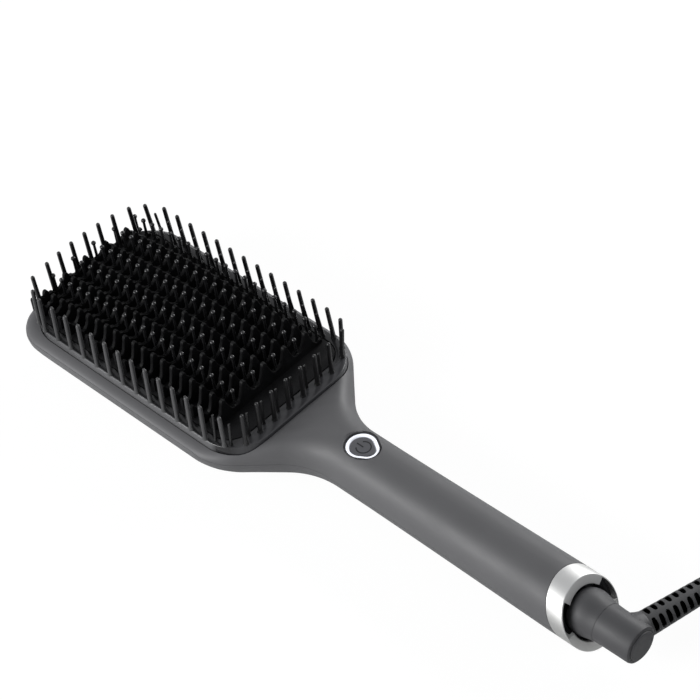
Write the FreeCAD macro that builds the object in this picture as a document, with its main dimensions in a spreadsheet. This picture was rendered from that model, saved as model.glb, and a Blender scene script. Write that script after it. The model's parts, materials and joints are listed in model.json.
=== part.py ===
import FreeCAD, Part
import os
import Sketcher
from math import acos, asin, cos, pi, radians, sin, sqrt, tan

# Corded heated hair brush, in millimetres.
# Every piece is drawn with X running from the toe of the paddle to the cord end, Y across and Z up
# from the surface that the brush lies on, and is then shifted so that the origin is mid length.

SIZES = [
    # moulded housing
    ("head_length", 112.7, "paddle, toe to start of shoulders"),
    ("shoulder_length", 45.0, "shoulders and neck"),
    ("grip_length", 95.4, "round grip up to the collar"),
    ("collar_length", 13.6, "metal end collar"),
    ("elbow_reach", 21.5, "cord elbow beyond the collar"),
    ("head_width", 78.4, "paddle at its waist line"),
    ("rim_height", 24.5, "top of the paddle rim"),
    ("waist_height", 18.5, "height of the widest line of the paddle"),
    ("rim_round", 2.7, "rounding of the rim edge, across"),
    ("back_flat", 23.0, "flat strip along the back"),
    ("back_power", 1.8, "fullness of the rounded back"),
    ("toe_round", 14.6, "plan radius of the toe corners"),
    ("toe_rise", 24.0, "length over which the back rises to the toe"),
    ("toe_nose", 0.3, "depth cut off the very tip"),
    ("shoulder_round", 18.0, "plan radius of the shoulders"),
    ("flank_angle", 50.0, "slope of the shoulders in plan, degrees"),
    ("grip_radius", 11.95, "grip"),
    ("wall", 2.2, "housing wall"),
    ("seam_head", 19.5, "height of the seam round the paddle"),
    ("seam_grip", 10.5, "height of the seam along the grip"),
    # opening for the bristle frame
    ("opening_start", 2.5, "toe to the opening"),
    ("opening_run", 15.0, "opening beyond the paddle's straight sides"),
    ("opening_side", 2.6, "side of the paddle to the opening"),
    ("opening_length", "head_length + opening_run - opening_start", "opening in the housing"),
    ("opening_width", "head_width - 2 * opening_side", "opening in the housing"),
    ("opening_round", 13.0, "corner radius of the opening"),
    ("seat_gap", 0.1, "clearance between fixed pieces"),
    # bristle frame
    ("bed_height", 22.5, "level that the bristles stand on"),
    ("frame_top", 24.3, "upper edge of the bristle frame"),
    ("frame_thickness", 2.0, "frame under its flat"),
    ("slope_side", 1.9, "width of the sloped edge along the sides"),
    ("slope_toe", 0.6, "width of the sloped edge at the toe"),
    ("slope_neck", 2.7, "width of the sloped edge at the neck"),
    ("window_start", 5.15, "toe to the window for the heater"),
    ("window_neck", 9.0, "window to the end of the opening"),
    ("window_side", 6.6, "window to the side of the opening"),
    ("window_length", "opening_start + opening_length - window_neck - window_start", "window for the heater"),
    ("window_width", "opening_width - 2 * window_side", "window for the heater"),
    ("window_round", 2.5, "corner radius of the window"),
    # cool outer bristles
    ("outer_height", 16.55, "outer bristles"),
    ("outer_radius", 0.9, "outer bristles"),
    ("inner_height", 12.7, "inner bristles"),
    ("inner_radius", 0.6, "inner bristles"),
    ("inner_inset", 2.1, "outer row to inner row"),
    ("ring_pitch", 7.458, "spacing of the outer bristles"),
    ("ring_side", 3.5, "side rows to the side of the opening"),
    ("ring_neck", 6.2, "neck row to the end of the opening"),
    ("ring_start", 4.1, "toe to the toe row"),
    ("ring_width", "opening_width - 2 * ring_side", "between the two side rows"),
    ("ring_length", "opening_start + opening_length - ring_neck - ring_start", "toe row to neck row"),
    ("ring_round", 8.5, "corner radius of the outer row"),
    ("lean_side", 1.2, "inward lean of the side bristles"),
    ("lean_neck", 1.3, "lean of the neck bristles towards the grip"),
    # heater with its combs
    ("column_count", 20, "combs"),
    ("tooth_rows", 5, "teeth on each comb"),
    ("field_toe", 1.2, "window to the first comb"),
    ("field_neck", 11.65, "last comb to the end of the window"),
    ("field_side", 3.175, "window to the pins, across"),
    ("field_length", "window_length - field_toe - field_neck", "first comb to last comb"),
    ("field_centre", "window_start + field_toe + field_length / 2", "toe to the middle of the combs"),
    ("pin_pitch", "field_length / ( column_count - 1 )", "comb to comb"),
    ("row_pitch", "( window_width - 2 * field_side ) / tooth_rows", "tooth to tooth across"),
    ("fin_thickness", 1.5, "comb"),
    ("tooth_width", 2.9, "tooth of a comb"),
    ("tooth_height", 12.6, "highest tooth above the bed"),
    ("valley_depth", 5.3, "tooth top to the floor between teeth"),
    ("edge_tooth_height", 6.0, "low end tooth on the near side"),
    ("comb_gap", 1.6, "end of a comb to the window"),
    ("comb_reach", "window_width / 2 - comb_gap", "half length of a comb"),
    ("plate_thickness", 2.0, "heater plate"),
    ("plate_gap", 0.35, "gap round the heater plate"),
    ("ball_height", 15.6, "highest ball tip above the bed"),
    ("ball_radius", 0.97, "ball tip"),
    ("stem_radius", 0.6, "stem under the ball tip"),
    ("crown_length", 3.8, "drop of the tips along half the field"),
    ("crown_width", 2.4, "drop of the tips across half the field"),
    ("crown_offset", 5.3, "highest comb behind the middle"),
    # heater pack under the plate
    ("carrier_height", 4.9, "heater carrier"),
    ("carrier_floor", 2.2, "floor of the carrier"),
    ("carrier_inset", 1.5, "carrier inside the opening"),
    ("carrier_rim", 2.1, "ledge under the heater plate"),
    ("pack_room", 21.55, "length of the window beyond the heaters"),
    ("heater_gap", 4.0, "between the ceramic heaters"),
    ("heater_length", "( window_length - pack_room - heater_gap ) / 2", "ceramic heater"),
    ("heater_width", 18.0, "ceramic heater"),
    ("heater_thickness", 1.5, "ceramic heater"),
    ("heater_spacing", "heater_length + heater_gap", "ceramic heater to the next"),
    ("sheet_thickness", 0.6, "mica sheet"),
    ("clamp_thickness", 0.6, "spring clamp plate"),
    ("sensor_radius", 1.3, "temperature sensor and fuse"),
    ("sensor_length", 7.0, "temperature sensor and fuse"),
    ("screw_radius", 1.25, "screw shank"),
    ("screw_length", 7.0, "screw under its head"),
    ("screw_head_radius", 2.3, "screw head"),
    ("screw_head_height", 1.4, "screw head"),
    ("screw_clearance", 0.06, "shank to its hole"),
    ("post_radius", 3.2, "screw posts of the rear cover"),
    ("post_inset", 12.775, "window's end to the screw posts, less their shift"),
    ("post_spacing", "( window_length - 2 * post_inset ) / 2", "screw posts along the paddle"),
    ("post_shift", 4.0, "middle of the combs to the middle posts"),
    ("post_width", 30.0, "screw posts across the paddle"),
    # circuit board and switch
    ("board_length", 78.0, "circuit board"),
    ("board_width", 15.0, "circuit board"),
    ("board_thickness", 1.6, "circuit board"),
    ("board_level", 10.3, "underside of the circuit board"),
    ("board_lead", 11.7, "circuit board ahead of the grip"),
    ("board_start", "head_length + shoulder_length - board_lead", "toe to the circuit board"),
    ("board_screw_inset", 3.2, "board end to its screw"),
    ("button_lead", 1.8, "wide end of the button ahead of the grip"),
    ("button_place", "head_length + shoulder_length - button_lead", "toe to the wide end of the button"),
    ("button_stretch", 3.0, "wide end to narrow end of the button"),
    ("ring_wide", 5.9, "light ring, radius of the wide end"),
    ("ring_narrow", 4.4, "light ring, radius of the narrow end"),
    ("ring_top", 22.9, "top of the light ring"),
    ("light_width", 1.6, "visible width of the light ring"),
    ("light_foot", 0.8, "width of the light ring below the button flange"),
    ("button_gap", 0.15, "button to light ring"),
    ("button_top", 22.6, "top of the button"),
    ("button_height", 4.2, "button with its flange"),
    ("flange_height", 1.1, "button flange"),
    ("button_travel", 0.8, "button stroke"),
    ("recess_gap", 0.8, "recess round the light ring"),
    ("recess_depth", 1.6, "recess below the grip's top line"),
    ("boss_wall", 1.5, "boss round the light ring"),
    ("switch_width", 6.0, "push switch"),
    ("switch_height", 5.1, "push switch"),
    ("plunger_radius", 1.7, "push switch plunger"),
    ("plunger_fit", 0.05, "plunger to its bore"),
    # collar and cord swivel
    ("collar_front", 12.9, "collar radius at the grip"),
    ("collar_rear", 12.3, "collar radius at its open end"),
    ("collar_wall", 1.25, "collar wall"),
    ("collar_lip", 1.5, "inward lip of the collar"),
    ("cup_radius", 10.7, "hollow round the swivel"),
    ("cup_depth", 7.0, "hollow round the swivel"),
    ("sleeve_length", 12.1, "swivel socket inside the grip"),
    ("bearing_length", 7.0, "swivel bearing"),
    ("spindle_radius", 4.0, "swivel spindle"),
    ("spindle_fit", 0.05, "spindle to its bearing"),
    ("hub_radius", 10.0, "swivel flange"),
    ("hub_thickness", 3.4, "swivel flange"),
    ("hub_gap", 0.4, "swivel flange to the socket"),
    ("hub_cone", 9.0, "root of the elbow"),
    ("elbow_radius", 7.7, "elbow"),
    ("elbow_taper", 8.0, "length of the elbow's taper"),
    ("elbow_round", 2.4, "rounding of the elbow's end"),
    ("cap_radius", 5.9, "end cap"),
    ("cap_height", 2.0, "end cap"),
    ("cap_depth", 0.8, "end cap inside the elbow"),
    ("clip_radius", 6.2, "retaining clip"),
    ("clip_thickness", 0.8, "retaining clip"),
    ("groove_depth", 0.6, "groove for the retaining clip"),
    ("slip_radius", 5.4, "slip rings"),
    ("slip_width", 1.6, "slip rings"),
    ("slip_pitch", 3.6, "slip ring to slip ring"),
    ("slip_inset", 1.5, "spindle's end to the first slip ring"),
    # strain relief and cord
    ("relief_angle", 76.0, "cord exit from the brush's length, degrees"),
    ("relief_place", 8.8, "elbow end to the cord exit"),
    ("stub_radius", 5.3, "boss of the cord exit"),
    ("stub_length", 9.2, "axis to the mouth of the cord exit"),
    ("root_radius", 3.95, "root of the strain relief"),
    ("root_length", 4.2, "root of the strain relief"),
    ("relief_length", 48.0, "strain relief outside the elbow"),
    ("relief_start", 4.9, "strain relief radius at the elbow"),
    ("relief_end", 3.7, "strain relief radius at its tip"),
    ("slot_pitch", 2.8, "slots of the strain relief"),
    ("slot_width", 1.2, "slots of the strain relief"),
    ("slot_length", 4.0, "slots of the strain relief"),
    ("slot_depth", 1.1, "slots of the strain relief"),
    ("slot_count", 14, "slots of the strain relief"),
    ("cord_radius", 3.0, "mains cord"),
    ("coil_radius", 35.6, "mean radius of the coiled cord"),
    ("coil_band", 28.8, "width of the coiled bundle"),
    ("coil_height", 12.1, "height of the coiled bundle"),
    ("coil_away", 56.36, "cord exit to the middle of the coil, along the brush"),
    ("coil_back", 2.5, "middle of the coil back from the cord exit, across"),
    ("lead_run", 12.0, "first straight run of the cord"),
    ("lead_step", 11.2, "each further run up to the coil"),
    ("tail_start", 40.0, "where the cord leaves the coil, degrees"),
    ("tail_run", 13.0, "first straight run off the coil"),
    ("tail_step", 12.0, "each further run up to the plug"),
    # plug
    ("plug_length", 36.0, "plug body"),
    ("plug_width", 35.3, "plug body"),
    ("plug_thickness", 13.7, "plug body"),
    ("plug_round", 5.0, "plug body corners"),
    ("plug_taper", 9.0, "narrowing of the plug body to the cord"),
    ("prong_radius", 2.0, "plug pin"),
    ("prong_length", 19.0, "plug pin"),
    ("prong_spacing", 18.6, "plug pin to plug pin"),
    ("prong_root", 4.0, "plug pin inside the body"),
    ("tail_relief_length", 22.0, "strain relief of the plug"),
    ("tail_relief_radius", 4.4, "strain relief of the plug"),
    # wires inside
    ("wire_radius", 0.8, "insulated wire"),
    ("wire_spread", 5.0, "heater wires off the middle line"),
    ("wire_rise", 12.0, "heaters to the floor of the carrier, along a wire"),
    ("wire_floor", 14.0, "wire along the carrier's floor"),
    ("wire_overlap", 8.0, "mains wire lying on the board"),
    ("wire_lift", 4.0, "mains wire beyond the board's end"),
    ("wire_drift", 2.4, "mains wire beside the slip rings"),
]

Vector = FreeCAD.Vector
Rotation = FreeCAD.Rotation
Placement = FreeCAD.Placement
UP = Vector(0, 0, 1)
ALONG = Vector(1, 0, 0)

doc = FreeCAD.newDocument("HeatedHairBrush")
sheet = doc.addObject("Spreadsheet::Sheet", "Sizes")
for line, (alias, number, note) in enumerate(SIZES, start=1):
    sheet.set(f"A{line}", note)
    sheet.set(f"B{line}", f"={number}")
    sheet.setAlias(f"B{line}", alias)
doc.recompute()


def size(alias):
    """A driving dimension from the sheet."""
    return float(sheet.get(alias))


def cells(text):
    """An expression in which every alias refers to the sheet."""
    words = text.replace("(", "( ").replace(")", " )").split()
    names = {alias for alias, number, note in SIZES}
    return " ".join(f"Sizes.{word}" if word in names else word for word in words)


def value(text):
    """The number that an expression of aliases gives."""
    return float(sheet.evalExpression(cells(text).replace("Sizes.", "")))


GRIP_END = "head_length + shoulder_length + grip_length"
COLLAR_END = GRIP_END + " + collar_length"
BRUSH_END = COLLAR_END + " + elbow_reach"
HALF_LENGTH = f"( {BRUSH_END} ) / 2"
SHIFT = Vector(-value(HALF_LENGTH), 0, 0)

pieces = []


def keep(item):
    """Registers a finished sub-part."""
    pieces.append(item)
    return item


# ---------------------------------------------------------------- feature helpers

def new_body(label):
    """A body drawn from the toe and shifted to the brush's own origin."""
    body = doc.addObject("PartDesign::Body", label)
    body.Label = label
    body.setExpression("Placement.Base.x", cells(f"-1 * {HALF_LENGTH}"))
    return keep(body)


def coded(label, shape):
    """A sub-part whose shape is worked out in code from the sheet."""
    item = doc.addObject("Part::Feature", label)
    item.Label = label
    item.Shape = shape
    item.Placement = Placement(SHIFT, Rotation())
    return keep(item)


def new_sketch(body, name, role, along="0", up="0", out="0", turn=0.0):
    """A sketch on one of the body's origin planes, with its origin moved in and off the plane."""
    sketch = body.newObject("Sketcher::SketchObject", name)
    plane = next(item for item in body.Origin.OriginFeatures if item.Role == role)
    sketch.AttachmentSupport = (plane, [""])
    sketch.MapMode = "FlatFace"
    sketch.AttachmentOffset = Placement(Vector(), Rotation(Vector(0, 1, 0), turn))
    sketch.setExpression("AttachmentOffset.Base.x", cells(along))
    sketch.setExpression("AttachmentOffset.Base.y", cells(up))
    sketch.setExpression("AttachmentOffset.Base.z", cells(out))
    return sketch


def bind(sketch, kind, geometry, point, text):
    """Ties a point's distance from the sketch's origin, or a radius, to the sheet."""
    number = value(text)
    if kind == "Radius":
        index = sketch.addConstraint(Sketcher.Constraint(kind, geometry, number))
    else:
        index = sketch.addConstraint(Sketcher.Constraint(kind, -1, 1, geometry, point, number))
    sketch.setExpression(f"Constraints[{index}]", cells(text))


def outline(sketch, corners):
    """A closed polygon whose corners are pairs of expressions."""
    spots = [Vector(value(x), value(y), 0) for x, y in corners]
    lines = []
    for index, spot in enumerate(spots):
        ending = spots[(index + 1) % len(spots)]
        lines.append(sketch.addGeometry(Part.LineSegment(spot, ending)))
    for index, (x, y) in enumerate(corners):
        follower = lines[(index + 1) % len(lines)]
        sketch.addConstraint(Sketcher.Constraint("Coincident", lines[index], 2, follower, 1))
        bind(sketch, "DistanceX", lines[index], 1, x)
        bind(sketch, "DistanceY", lines[index], 1, y)


def rectangle(sketch, low_x, high_x, low_y, high_y):
    outline(sketch, [(low_x, low_y), (high_x, low_y), (high_x, high_y), (low_x, high_y)])


def circle(sketch, x, y, radius):
    spot = Vector(value(x), value(y), 0)
    index = sketch.addGeometry(Part.Circle(spot, UP, value(radius)))
    bind(sketch, "DistanceX", index, 3, x)
    bind(sketch, "DistanceY", index, 3, y)
    bind(sketch, "Radius", index, 0, radius)


def egg(sketch, place, stretch, wide, narrow):
    """Two arcs joined by their common tangents, the narrow one towards the grip."""
    start, reach = value(place), value(stretch)
    big, small = value(wide), value(narrow)
    lean = acos((big - small) / reach)

    def edge(middle, radius, angle):
        return Vector(middle + radius * cos(angle), radius * sin(angle), 0)

    back = Part.ArcOfCircle(Part.Circle(Vector(start, 0, 0), UP, big), lean, 2 * pi - lean)
    front = Part.ArcOfCircle(Part.Circle(Vector(start + reach, 0, 0), UP, small), -lean, lean)
    lower = Part.LineSegment(edge(start, big, -lean), edge(start + reach, small, -lean))
    upper = Part.LineSegment(edge(start + reach, small, lean), edge(start, big, lean))
    loop = [sketch.addGeometry(item) for item in (back, lower, front, upper)]
    for index, item in enumerate(loop):
        follower = loop[(index + 1) % 4]
        sketch.addConstraint(Sketcher.Constraint("Tangent", item, 2, follower, 1))
    for item in (loop[0], loop[2]):
        sketch.addConstraint(Sketcher.Constraint("PointOnObject", item, 3, -1))
    bind(sketch, "DistanceX", loop[0], 3, place)
    bind(sketch, "DistanceX", loop[2], 3, f"{place} + {stretch}")
    bind(sketch, "Radius", loop[0], 0, wide)
    bind(sketch, "Radius", loop[2], 0, narrow)


def pad(body, sketch, length, name="Pad", back=False):
    feature = body.newObject("PartDesign::Pad", name)
    feature.Profile = sketch
    feature.Reversed = back
    feature.setExpression("Length", cells(length))
    return feature


def pocket(body, sketch, length, name="Pocket", back=False):
    feature = body.newObject("PartDesign::Pocket", name)
    feature.Profile = sketch
    feature.Reversed = back
    feature.setExpression("Length", cells(length))
    return feature


def turned(body, sketch, name="Revolution"):
    """A solid turned about the sketch's horizontal axis."""
    feature = body.newObject("PartDesign::Revolution", name)
    feature.Profile = sketch
    feature.ReferenceAxis = (sketch, ["H_Axis"])
    feature.Angle = 360
    return feature


def rounded(body, feature, radius, test, kind="Fillet"):
    """Rounds or bevels the edges of a feature that pass a test."""
    doc.recompute()
    names = [f"Edge{index}" for index, edge in enumerate(feature.Shape.Edges, 1) if test(edge)]
    item = body.newObject(f"PartDesign::{kind}", kind)
    item.Base = (feature, names)
    item.setExpression("Radius" if kind == "Fillet" else "Size", cells(radius))
    return item


def box_body(label, low, high):
    """A plain rectangular piece between two corners of expressions."""
    body = new_body(label)
    base = new_sketch(body, label + "_base", "XY_Plane", out=low[2])
    rectangle(base, low[0], high[0], low[1], high[1])
    pad(body, base, f"( {high[2]} ) - ( {low[2]} )")
    return body


def turned_body(label, corners):
    """A piece turned about the grip's axis."""
    body = new_body(label)
    profile = new_sketch(body, label + "_profile", "XZ_Plane", up="grip_radius")
    outline(profile, corners)
    turned(body, profile)
    return body


# ---------------------------------------------------------------- housing form

def plan_half_width(run, half, grip):
    """Half width of the shoulders at a run from the end of the paddle."""
    length = size("shoulder_length")
    bend = radians(size("flank_angle"))
    convex = size("shoulder_round")
    drop = half - grip
    both = (length - drop * cos(bend) / sin(bend)) / (sin(bend) - cos(bend) * (1 - cos(bend)) / sin(bend))
    concave = both - convex
    if run <= 0:
        return half
    if run >= length:
        return grip
    if run < convex * sin(bend):
        return half - convex + sqrt(convex ** 2 - run ** 2)
    if run > length - concave * sin(bend):
        return grip + concave - sqrt(concave ** 2 - (length - run) ** 2)
    return half - convex * (1 - cos(bend)) - (run - convex * sin(bend)) * tan(bend)


def section(x, half, top, bottom, waist, rim, keel, power):
    """A cross-section of the housing: flat top and back, joined by a full curve on each side."""
    points = []
    for step in range(5):
        angle = radians(90 - 22.5 * step)
        points.append((half - rim + rim * max(cos(angle), 0), waist + (top - waist) * sin(angle)))
    for step in range(1, 7):
        angle = radians(15 * step)
        across = max(cos(angle), 0) ** (2 / power)
        down = sin(angle) ** (2 / power)
        points.append((half - keel + keel * across, waist - (waist - bottom) * down))
    right = [Vector(x, y, z) for y, z in points]
    left = [Vector(x, -y, z) for y, z in reversed(points)]
    spacing = [index / (len(points) - 1) for index in range(len(points))]
    curves = []
    for side in (right, left):
        curve = Part.BSplineCurve()
        curve.interpolate(Points=side, Parameters=spacing)
        curves.append(curve.toShape())
    top_line = Part.makeLine(left[-1], right[0])
    back_line = Part.makeLine(right[-1], left[0])
    return Part.Wire([top_line, curves[0], back_line, curves[1]])


def housing_form(inset, run_on):
    """The outer form of the housing, or its hollow when inset by the wall."""
    half = size("head_width") / 2
    rim = max(size("rim_round") - inset, 0.4)
    waist = size("waist_height")
    rim_rise = size("rim_height") - waist
    toe_round = size("toe_round") - inset
    toe_rise = size("toe_rise") - inset
    keel_share = 1 - size("back_flat") / size("head_width")
    power = size("back_power")
    grip = size("grip_radius") - inset
    head_end = size("head_length")
    length = size("shoulder_length")

    def toe_section(depth):
        run = depth + size("toe_nose")
        width = half - inset - toe_round + sqrt(toe_round ** 2 - max(toe_round - run, 0) ** 2)
        top = waist + (rim_rise - inset) * sqrt(1 - max((rim - run) / rim, 0) ** 2)
        climb = max((toe_rise - run) / toe_rise, 0) ** power
        bottom = inset + (waist - inset) * (1 - (1 - climb) ** (1 / power))
        return section(inset + depth, width, top, bottom, waist, rim, keel_share * width, power)

    def neck_section(run):
        share = min(max(run / length, 0), 1)
        blend = share * share * (3 - 2 * share)
        width = plan_half_width(run, half, size("grip_radius")) - inset
        top = size("rim_height") + (2 * size("grip_radius") - size("rim_height")) * blend - inset
        middle = waist + (size("grip_radius") - waist) * blend
        round_end = 0.98
        rim_here = rim + (round_end * grip - rim) * blend
        keel_here = width * (keel_share + (round_end - keel_share) * blend)
        return section(head_end + run, width, top, inset, middle, rim_here, keel_here,
                       power + (2 - power) * blend)

    toe_stations = [toe_rise * share for share in (0, 0.034, 0.09, 0.19, 0.33, 0.5, 0.67, 0.83, 1, 1.17)]
    settle = 6.0
    neck_stations = [-settle, -settle / 2]
    neck_stations += [length * step / 14 for step in range(15)]
    neck_stations += [length + settle / 2, length + settle]
    toe_wires = [toe_section(depth) for depth in toe_stations]
    neck_wires = [neck_section(run) for run in neck_stations]
    paddle_run = head_end - settle - inset - toe_stations[-1]
    grip_run = size("grip_length") - settle + run_on
    toe = Part.makeLoft(toe_wires, True, False)
    paddle = Part.Face(toe_wires[-1]).extrude(Vector(paddle_run, 0, 0))
    neck = Part.makeLoft(neck_wires, True, False)
    grip_piece = Part.Face(neck_wires[-1]).extrude(Vector(grip_run, 0, 0))
    return toe.fuse([paddle, neck, grip_piece])


def rounded_loop(start, length, width, corner, level):
    """A rounded rectangle lying flat, symmetrical about the brush's middle line."""
    end = start + length
    half = width / 2
    corner = min(corner, half - 0.5)
    centres = [(end - corner, -half + corner, -90), (end - corner, half - corner, 0),
               (start + corner, half - corner, 90), (start + corner, -half + corner, 180)]
    arcs = []
    for x, y, turn in centres:
        ring = Part.Circle(Vector(x, y, level), UP, corner)
        arcs.append(Part.ArcOfCircle(ring, radians(turn), radians(turn + 90)).toShape())
    edges = []
    for index, arc in enumerate(arcs):
        follower = arcs[(index + 1) % 4]
        edges.append(arc)
        edges.append(Part.makeLine(arc.valueAt(arc.LastParameter), follower.valueAt(follower.FirstParameter)))
    return Part.Wire(edges)


def opening_loop(toe_inset, neck_inset, side_inset, level):
    """The outline of the housing's opening, inset by different amounts at toe, neck and sides."""
    start = size("opening_start") + toe_inset
    length = size("opening_length") - toe_inset - neck_inset
    width = size("opening_width") - 2 * side_inset
    return rounded_loop(start, length, width, size("opening_round") - side_inset, level)


def window_loop(inset, level):
    """The outline of the window for the heater, inset evenly."""
    return rounded_loop(size("window_start") + inset, size("window_length") - 2 * inset,
                        size("window_width") - 2 * inset, size("window_round") - inset, level)


def slab(loop, height):
    return Part.Face(loop).extrude(Vector(0, 0, height))


def egg_prism(extra, low, high):
    """An upright prism with the light ring's outline grown by a margin."""
    place, reach = size("button_place"), size("button_stretch")
    big, small = size("ring_wide") + extra, size("ring_narrow") + extra
    lean = acos((big - small) / reach)
    back = Part.ArcOfCircle(Part.Circle(Vector(place, 0, low), UP, big), lean, 2 * pi - lean).toShape()
    front = Part.ArcOfCircle(Part.Circle(Vector(place + reach, 0, low), UP, small), -lean, lean).toShape()
    lower = Part.makeLine(back.valueAt(back.LastParameter), front.valueAt(front.FirstParameter))
    upper = Part.makeLine(front.valueAt(front.LastParameter), back.valueAt(back.FirstParameter))
    return slab(Part.Wire([back, lower, front, upper]), high - low)


def seam_block(above):
    """The space above or below the seam, which steps down from the paddle to the grip."""
    reach = value(BRUSH_END)
    head_end = size("head_length")
    neck_end = head_end + size("shoulder_length")
    far = size("head_width")
    limit = 2 * size("rim_height") if above else -size("rim_height")
    corners = [(-reach, size("seam_head")), (head_end, size("seam_head")),
               (neck_end, size("seam_grip")), (reach, size("seam_grip")),
               (reach, limit), (-reach, limit)]
    points = [Vector(x, -far, z) for x, z in corners]
    return Part.Face(Part.makePolygon(points + points[:1])).extrude(Vector(0, 2 * far, 0))


outer_form = housing_form(0, 0)
hollow_form = housing_form(size("wall"), size("wall"))
CARRIER_LOW = size("bed_height") - size("frame_thickness") - size("carrier_height")
POST_PLACES = [(size("field_centre") + size("post_shift") + column * size("post_spacing"), side * size("post_width") / 2)
               for column in (-1, 0, 1) for side in (-1, 1)]
BOARD_SCREWS = [(size("board_start") + size("board_screw_inset"), 0),
                (size("board_start") + size("board_length") - size("board_screw_inset"), 0)]


def make_upper_housing():
    low = size("board_level") + 5
    boss = egg_prism(size("seat_gap") + size("boss_wall"), low, size("rim_height"))
    upper = outer_form.common(seam_block(True)).cut(hollow_form.cut(boss))
    upper = upper.cut(egg_prism(size("seat_gap"), 0, 2 * size("rim_height")))
    recess_floor = 2 * size("grip_radius") - size("recess_depth")
    upper = upper.cut(egg_prism(size("recess_gap"), recess_floor, 2 * size("rim_height")))
    mouth = slab(opening_loop(0, 0, 0, CARRIER_LOW), size("rim_height"))
    return coded("upper_housing", upper.cut(mouth))


def make_rear_cover():
    hole_radius = size("screw_radius") + size("screw_clearance")
    places = [(x, y, CARRIER_LOW) for x, y in POST_PLACES]
    places += [(x, y, size("board_level")) for x, y in BOARD_SCREWS]
    depth = size("screw_length") + 1
    posts = [Part.makeCylinder(size("post_radius"), top, Vector(x, y, 0)) for x, y, top in places]
    holes = [Part.makeCylinder(hole_radius, depth, Vector(x, y, top - depth)) for x, y, top in places]
    cover = outer_form.common(seam_block(False)).cut(hollow_form.cut(posts)).cut(holes)
    return coded("rear_cover", cover)


# ---------------------------------------------------------------- bristles and heater

def stack(levels, facets=6):
    """A faceted round peg through a list of (centre, radius) levels, bottom to top."""
    loops = []
    for centre, radius in levels:
        ring = [centre + Vector(radius * cos(2 * pi * side / facets), radius * sin(2 * pi * side / facets), 0)
                for side in range(facets)]
        loops.append(ring)
    faces = [Part.Face(Part.makePolygon(loops[0] + loops[0][:1]))]
    for lower, upper in zip(loops, loops[1:]):
        for side in range(facets):
            after = (side + 1) % facets
            corners = [lower[side], lower[after], upper[after], upper[side], lower[side]]
            faces.append(Part.Face(Part.makePolygon(corners)))
    faces.append(Part.Face(Part.makePolygon(loops[-1] + loops[-1][:1])))
    return Part.makeSolid(Part.makeShell(faces))


def ring_places(inset, phase, corners):
    """Places of a row of bristles round the frame, each with the direction in which it leans."""
    pitch = size("ring_pitch")
    half = size("ring_width") / 2 - inset
    toe = size("ring_start") + inset
    neck = size("ring_start") + size("ring_length") - inset
    bend = size("ring_round")
    side_lean, neck_lean = size("lean_side"), size("lean_neck")
    low, high = size("ring_start") + bend, neck + inset - bend
    places = []
    near_start = low + 0.75 * pitch
    far_start = low
    for start, y, lean in ((near_start, -half, side_lean), (far_start, half, -side_lean)):
        count = int((high - start - phase * pitch) / pitch + 0.99)
        for step in range(count):
            places.append((start + (step + phase) * pitch, y, 0, lean))
    across = 2 * (size("ring_width") / 2 - bend)
    count = int(across / pitch)
    for step in range(count + 1 - int(2 * phase)):
        y = (step + phase - count / 2) * pitch - 0.4 * pitch
        places.append((neck, y, neck_lean, 0))
        if inset == 0 and step < count:
            places.append((toe, y + 0.6 * pitch, -neck_lean / 2, 0))
    for x_side, y_side, angle in corners:
        middle_x = high if x_side > 0 else low
        middle_y = y_side * (size("ring_width") / 2 - bend)
        reach = bend - 0.3 * inset
        turn = radians(angle)
        places.append((middle_x + reach * cos(turn), middle_y + reach * sin(turn),
                       side_lean * cos(turn), -side_lean * sin(turn)))
    return places


def make_bristle_frame():
    gap = size("seat_gap")
    low = size("bed_height") - size("frame_thickness")
    frame = slab(opening_loop(gap, gap, gap, low), size("frame_top") - low)
    upper_loop = opening_loop(3 * gap, 3 * gap, 3 * gap, size("frame_top"))
    lower_loop = opening_loop(gap + size("slope_toe"), gap + size("slope_neck"),
                              gap + size("slope_side"), size("bed_height"))
    frame = frame.cut(Part.makeLoft([lower_loop, upper_loop], True, True))
    frame = frame.cut(slab(window_loop(0, low - 1), size("rim_height")))
    return coded("bristle_frame", frame)


def make_frame_bristles():
    """Two rows of blunt tapered bristles, set into the frame and leaning with its edge."""
    bed = size("bed_height")
    sunk = size("frame_thickness") / 4
    rows = (("outer", 0, 0, ((1, -1, -65), (1, 1, 25), (1, 1, 62), (-1, 1, 125), (-1, 1, 172),
                             (-1, -1, -112), (-1, -1, -165))),
            ("inner", size("inner_inset"), 0.5, ((1, -1, -45), (1, 1, 45))))
    for row, inset, phase, corners in rows:
        pegs = []
        height, radius = size(row + "_height"), size(row + "_radius")
        for x, y, lean_x, lean_y in ring_places(inset, phase, corners):
            foot = Vector(x, y, bed - sunk)
            tip = Vector(x + lean_x, y + lean_y, bed + height)
            neck_point = foot + (tip - foot) * (1 - radius / height)
            pegs.append(stack([(foot, radius), (neck_point, 0.92 * radius), (tip, 0.45 * radius)]))
        coded(row + "_bristles", Part.makeCompound(pegs))


def crown(x, y):
    """How far the tips lie below the highest one, at a place on the field."""
    half_length = size("pin_pitch") * (size("column_count") - 1) / 2
    half_width = size("row_pitch") * size("tooth_rows") / 2
    along = (x - size("field_centre") - size("crown_offset")) / half_length
    return size("crown_length") * along ** 2 + size("crown_width") * (y / half_width) ** 2


def column_places():
    count = int(size("column_count"))
    return [size("field_centre") + (index - (count - 1) / 2) * size("pin_pitch") for index in range(count)]


def tooth_places():
    count = int(size("tooth_rows"))
    return [(index - (count - 1) / 2) * size("row_pitch") for index in range(count)]


def valley_level(x, y):
    """Floor between two teeth, never lower than a little above the bed."""
    return size("bed_height") + max(size("tooth_height") - size("valley_depth") - crown(x, y), 0.5)


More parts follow.
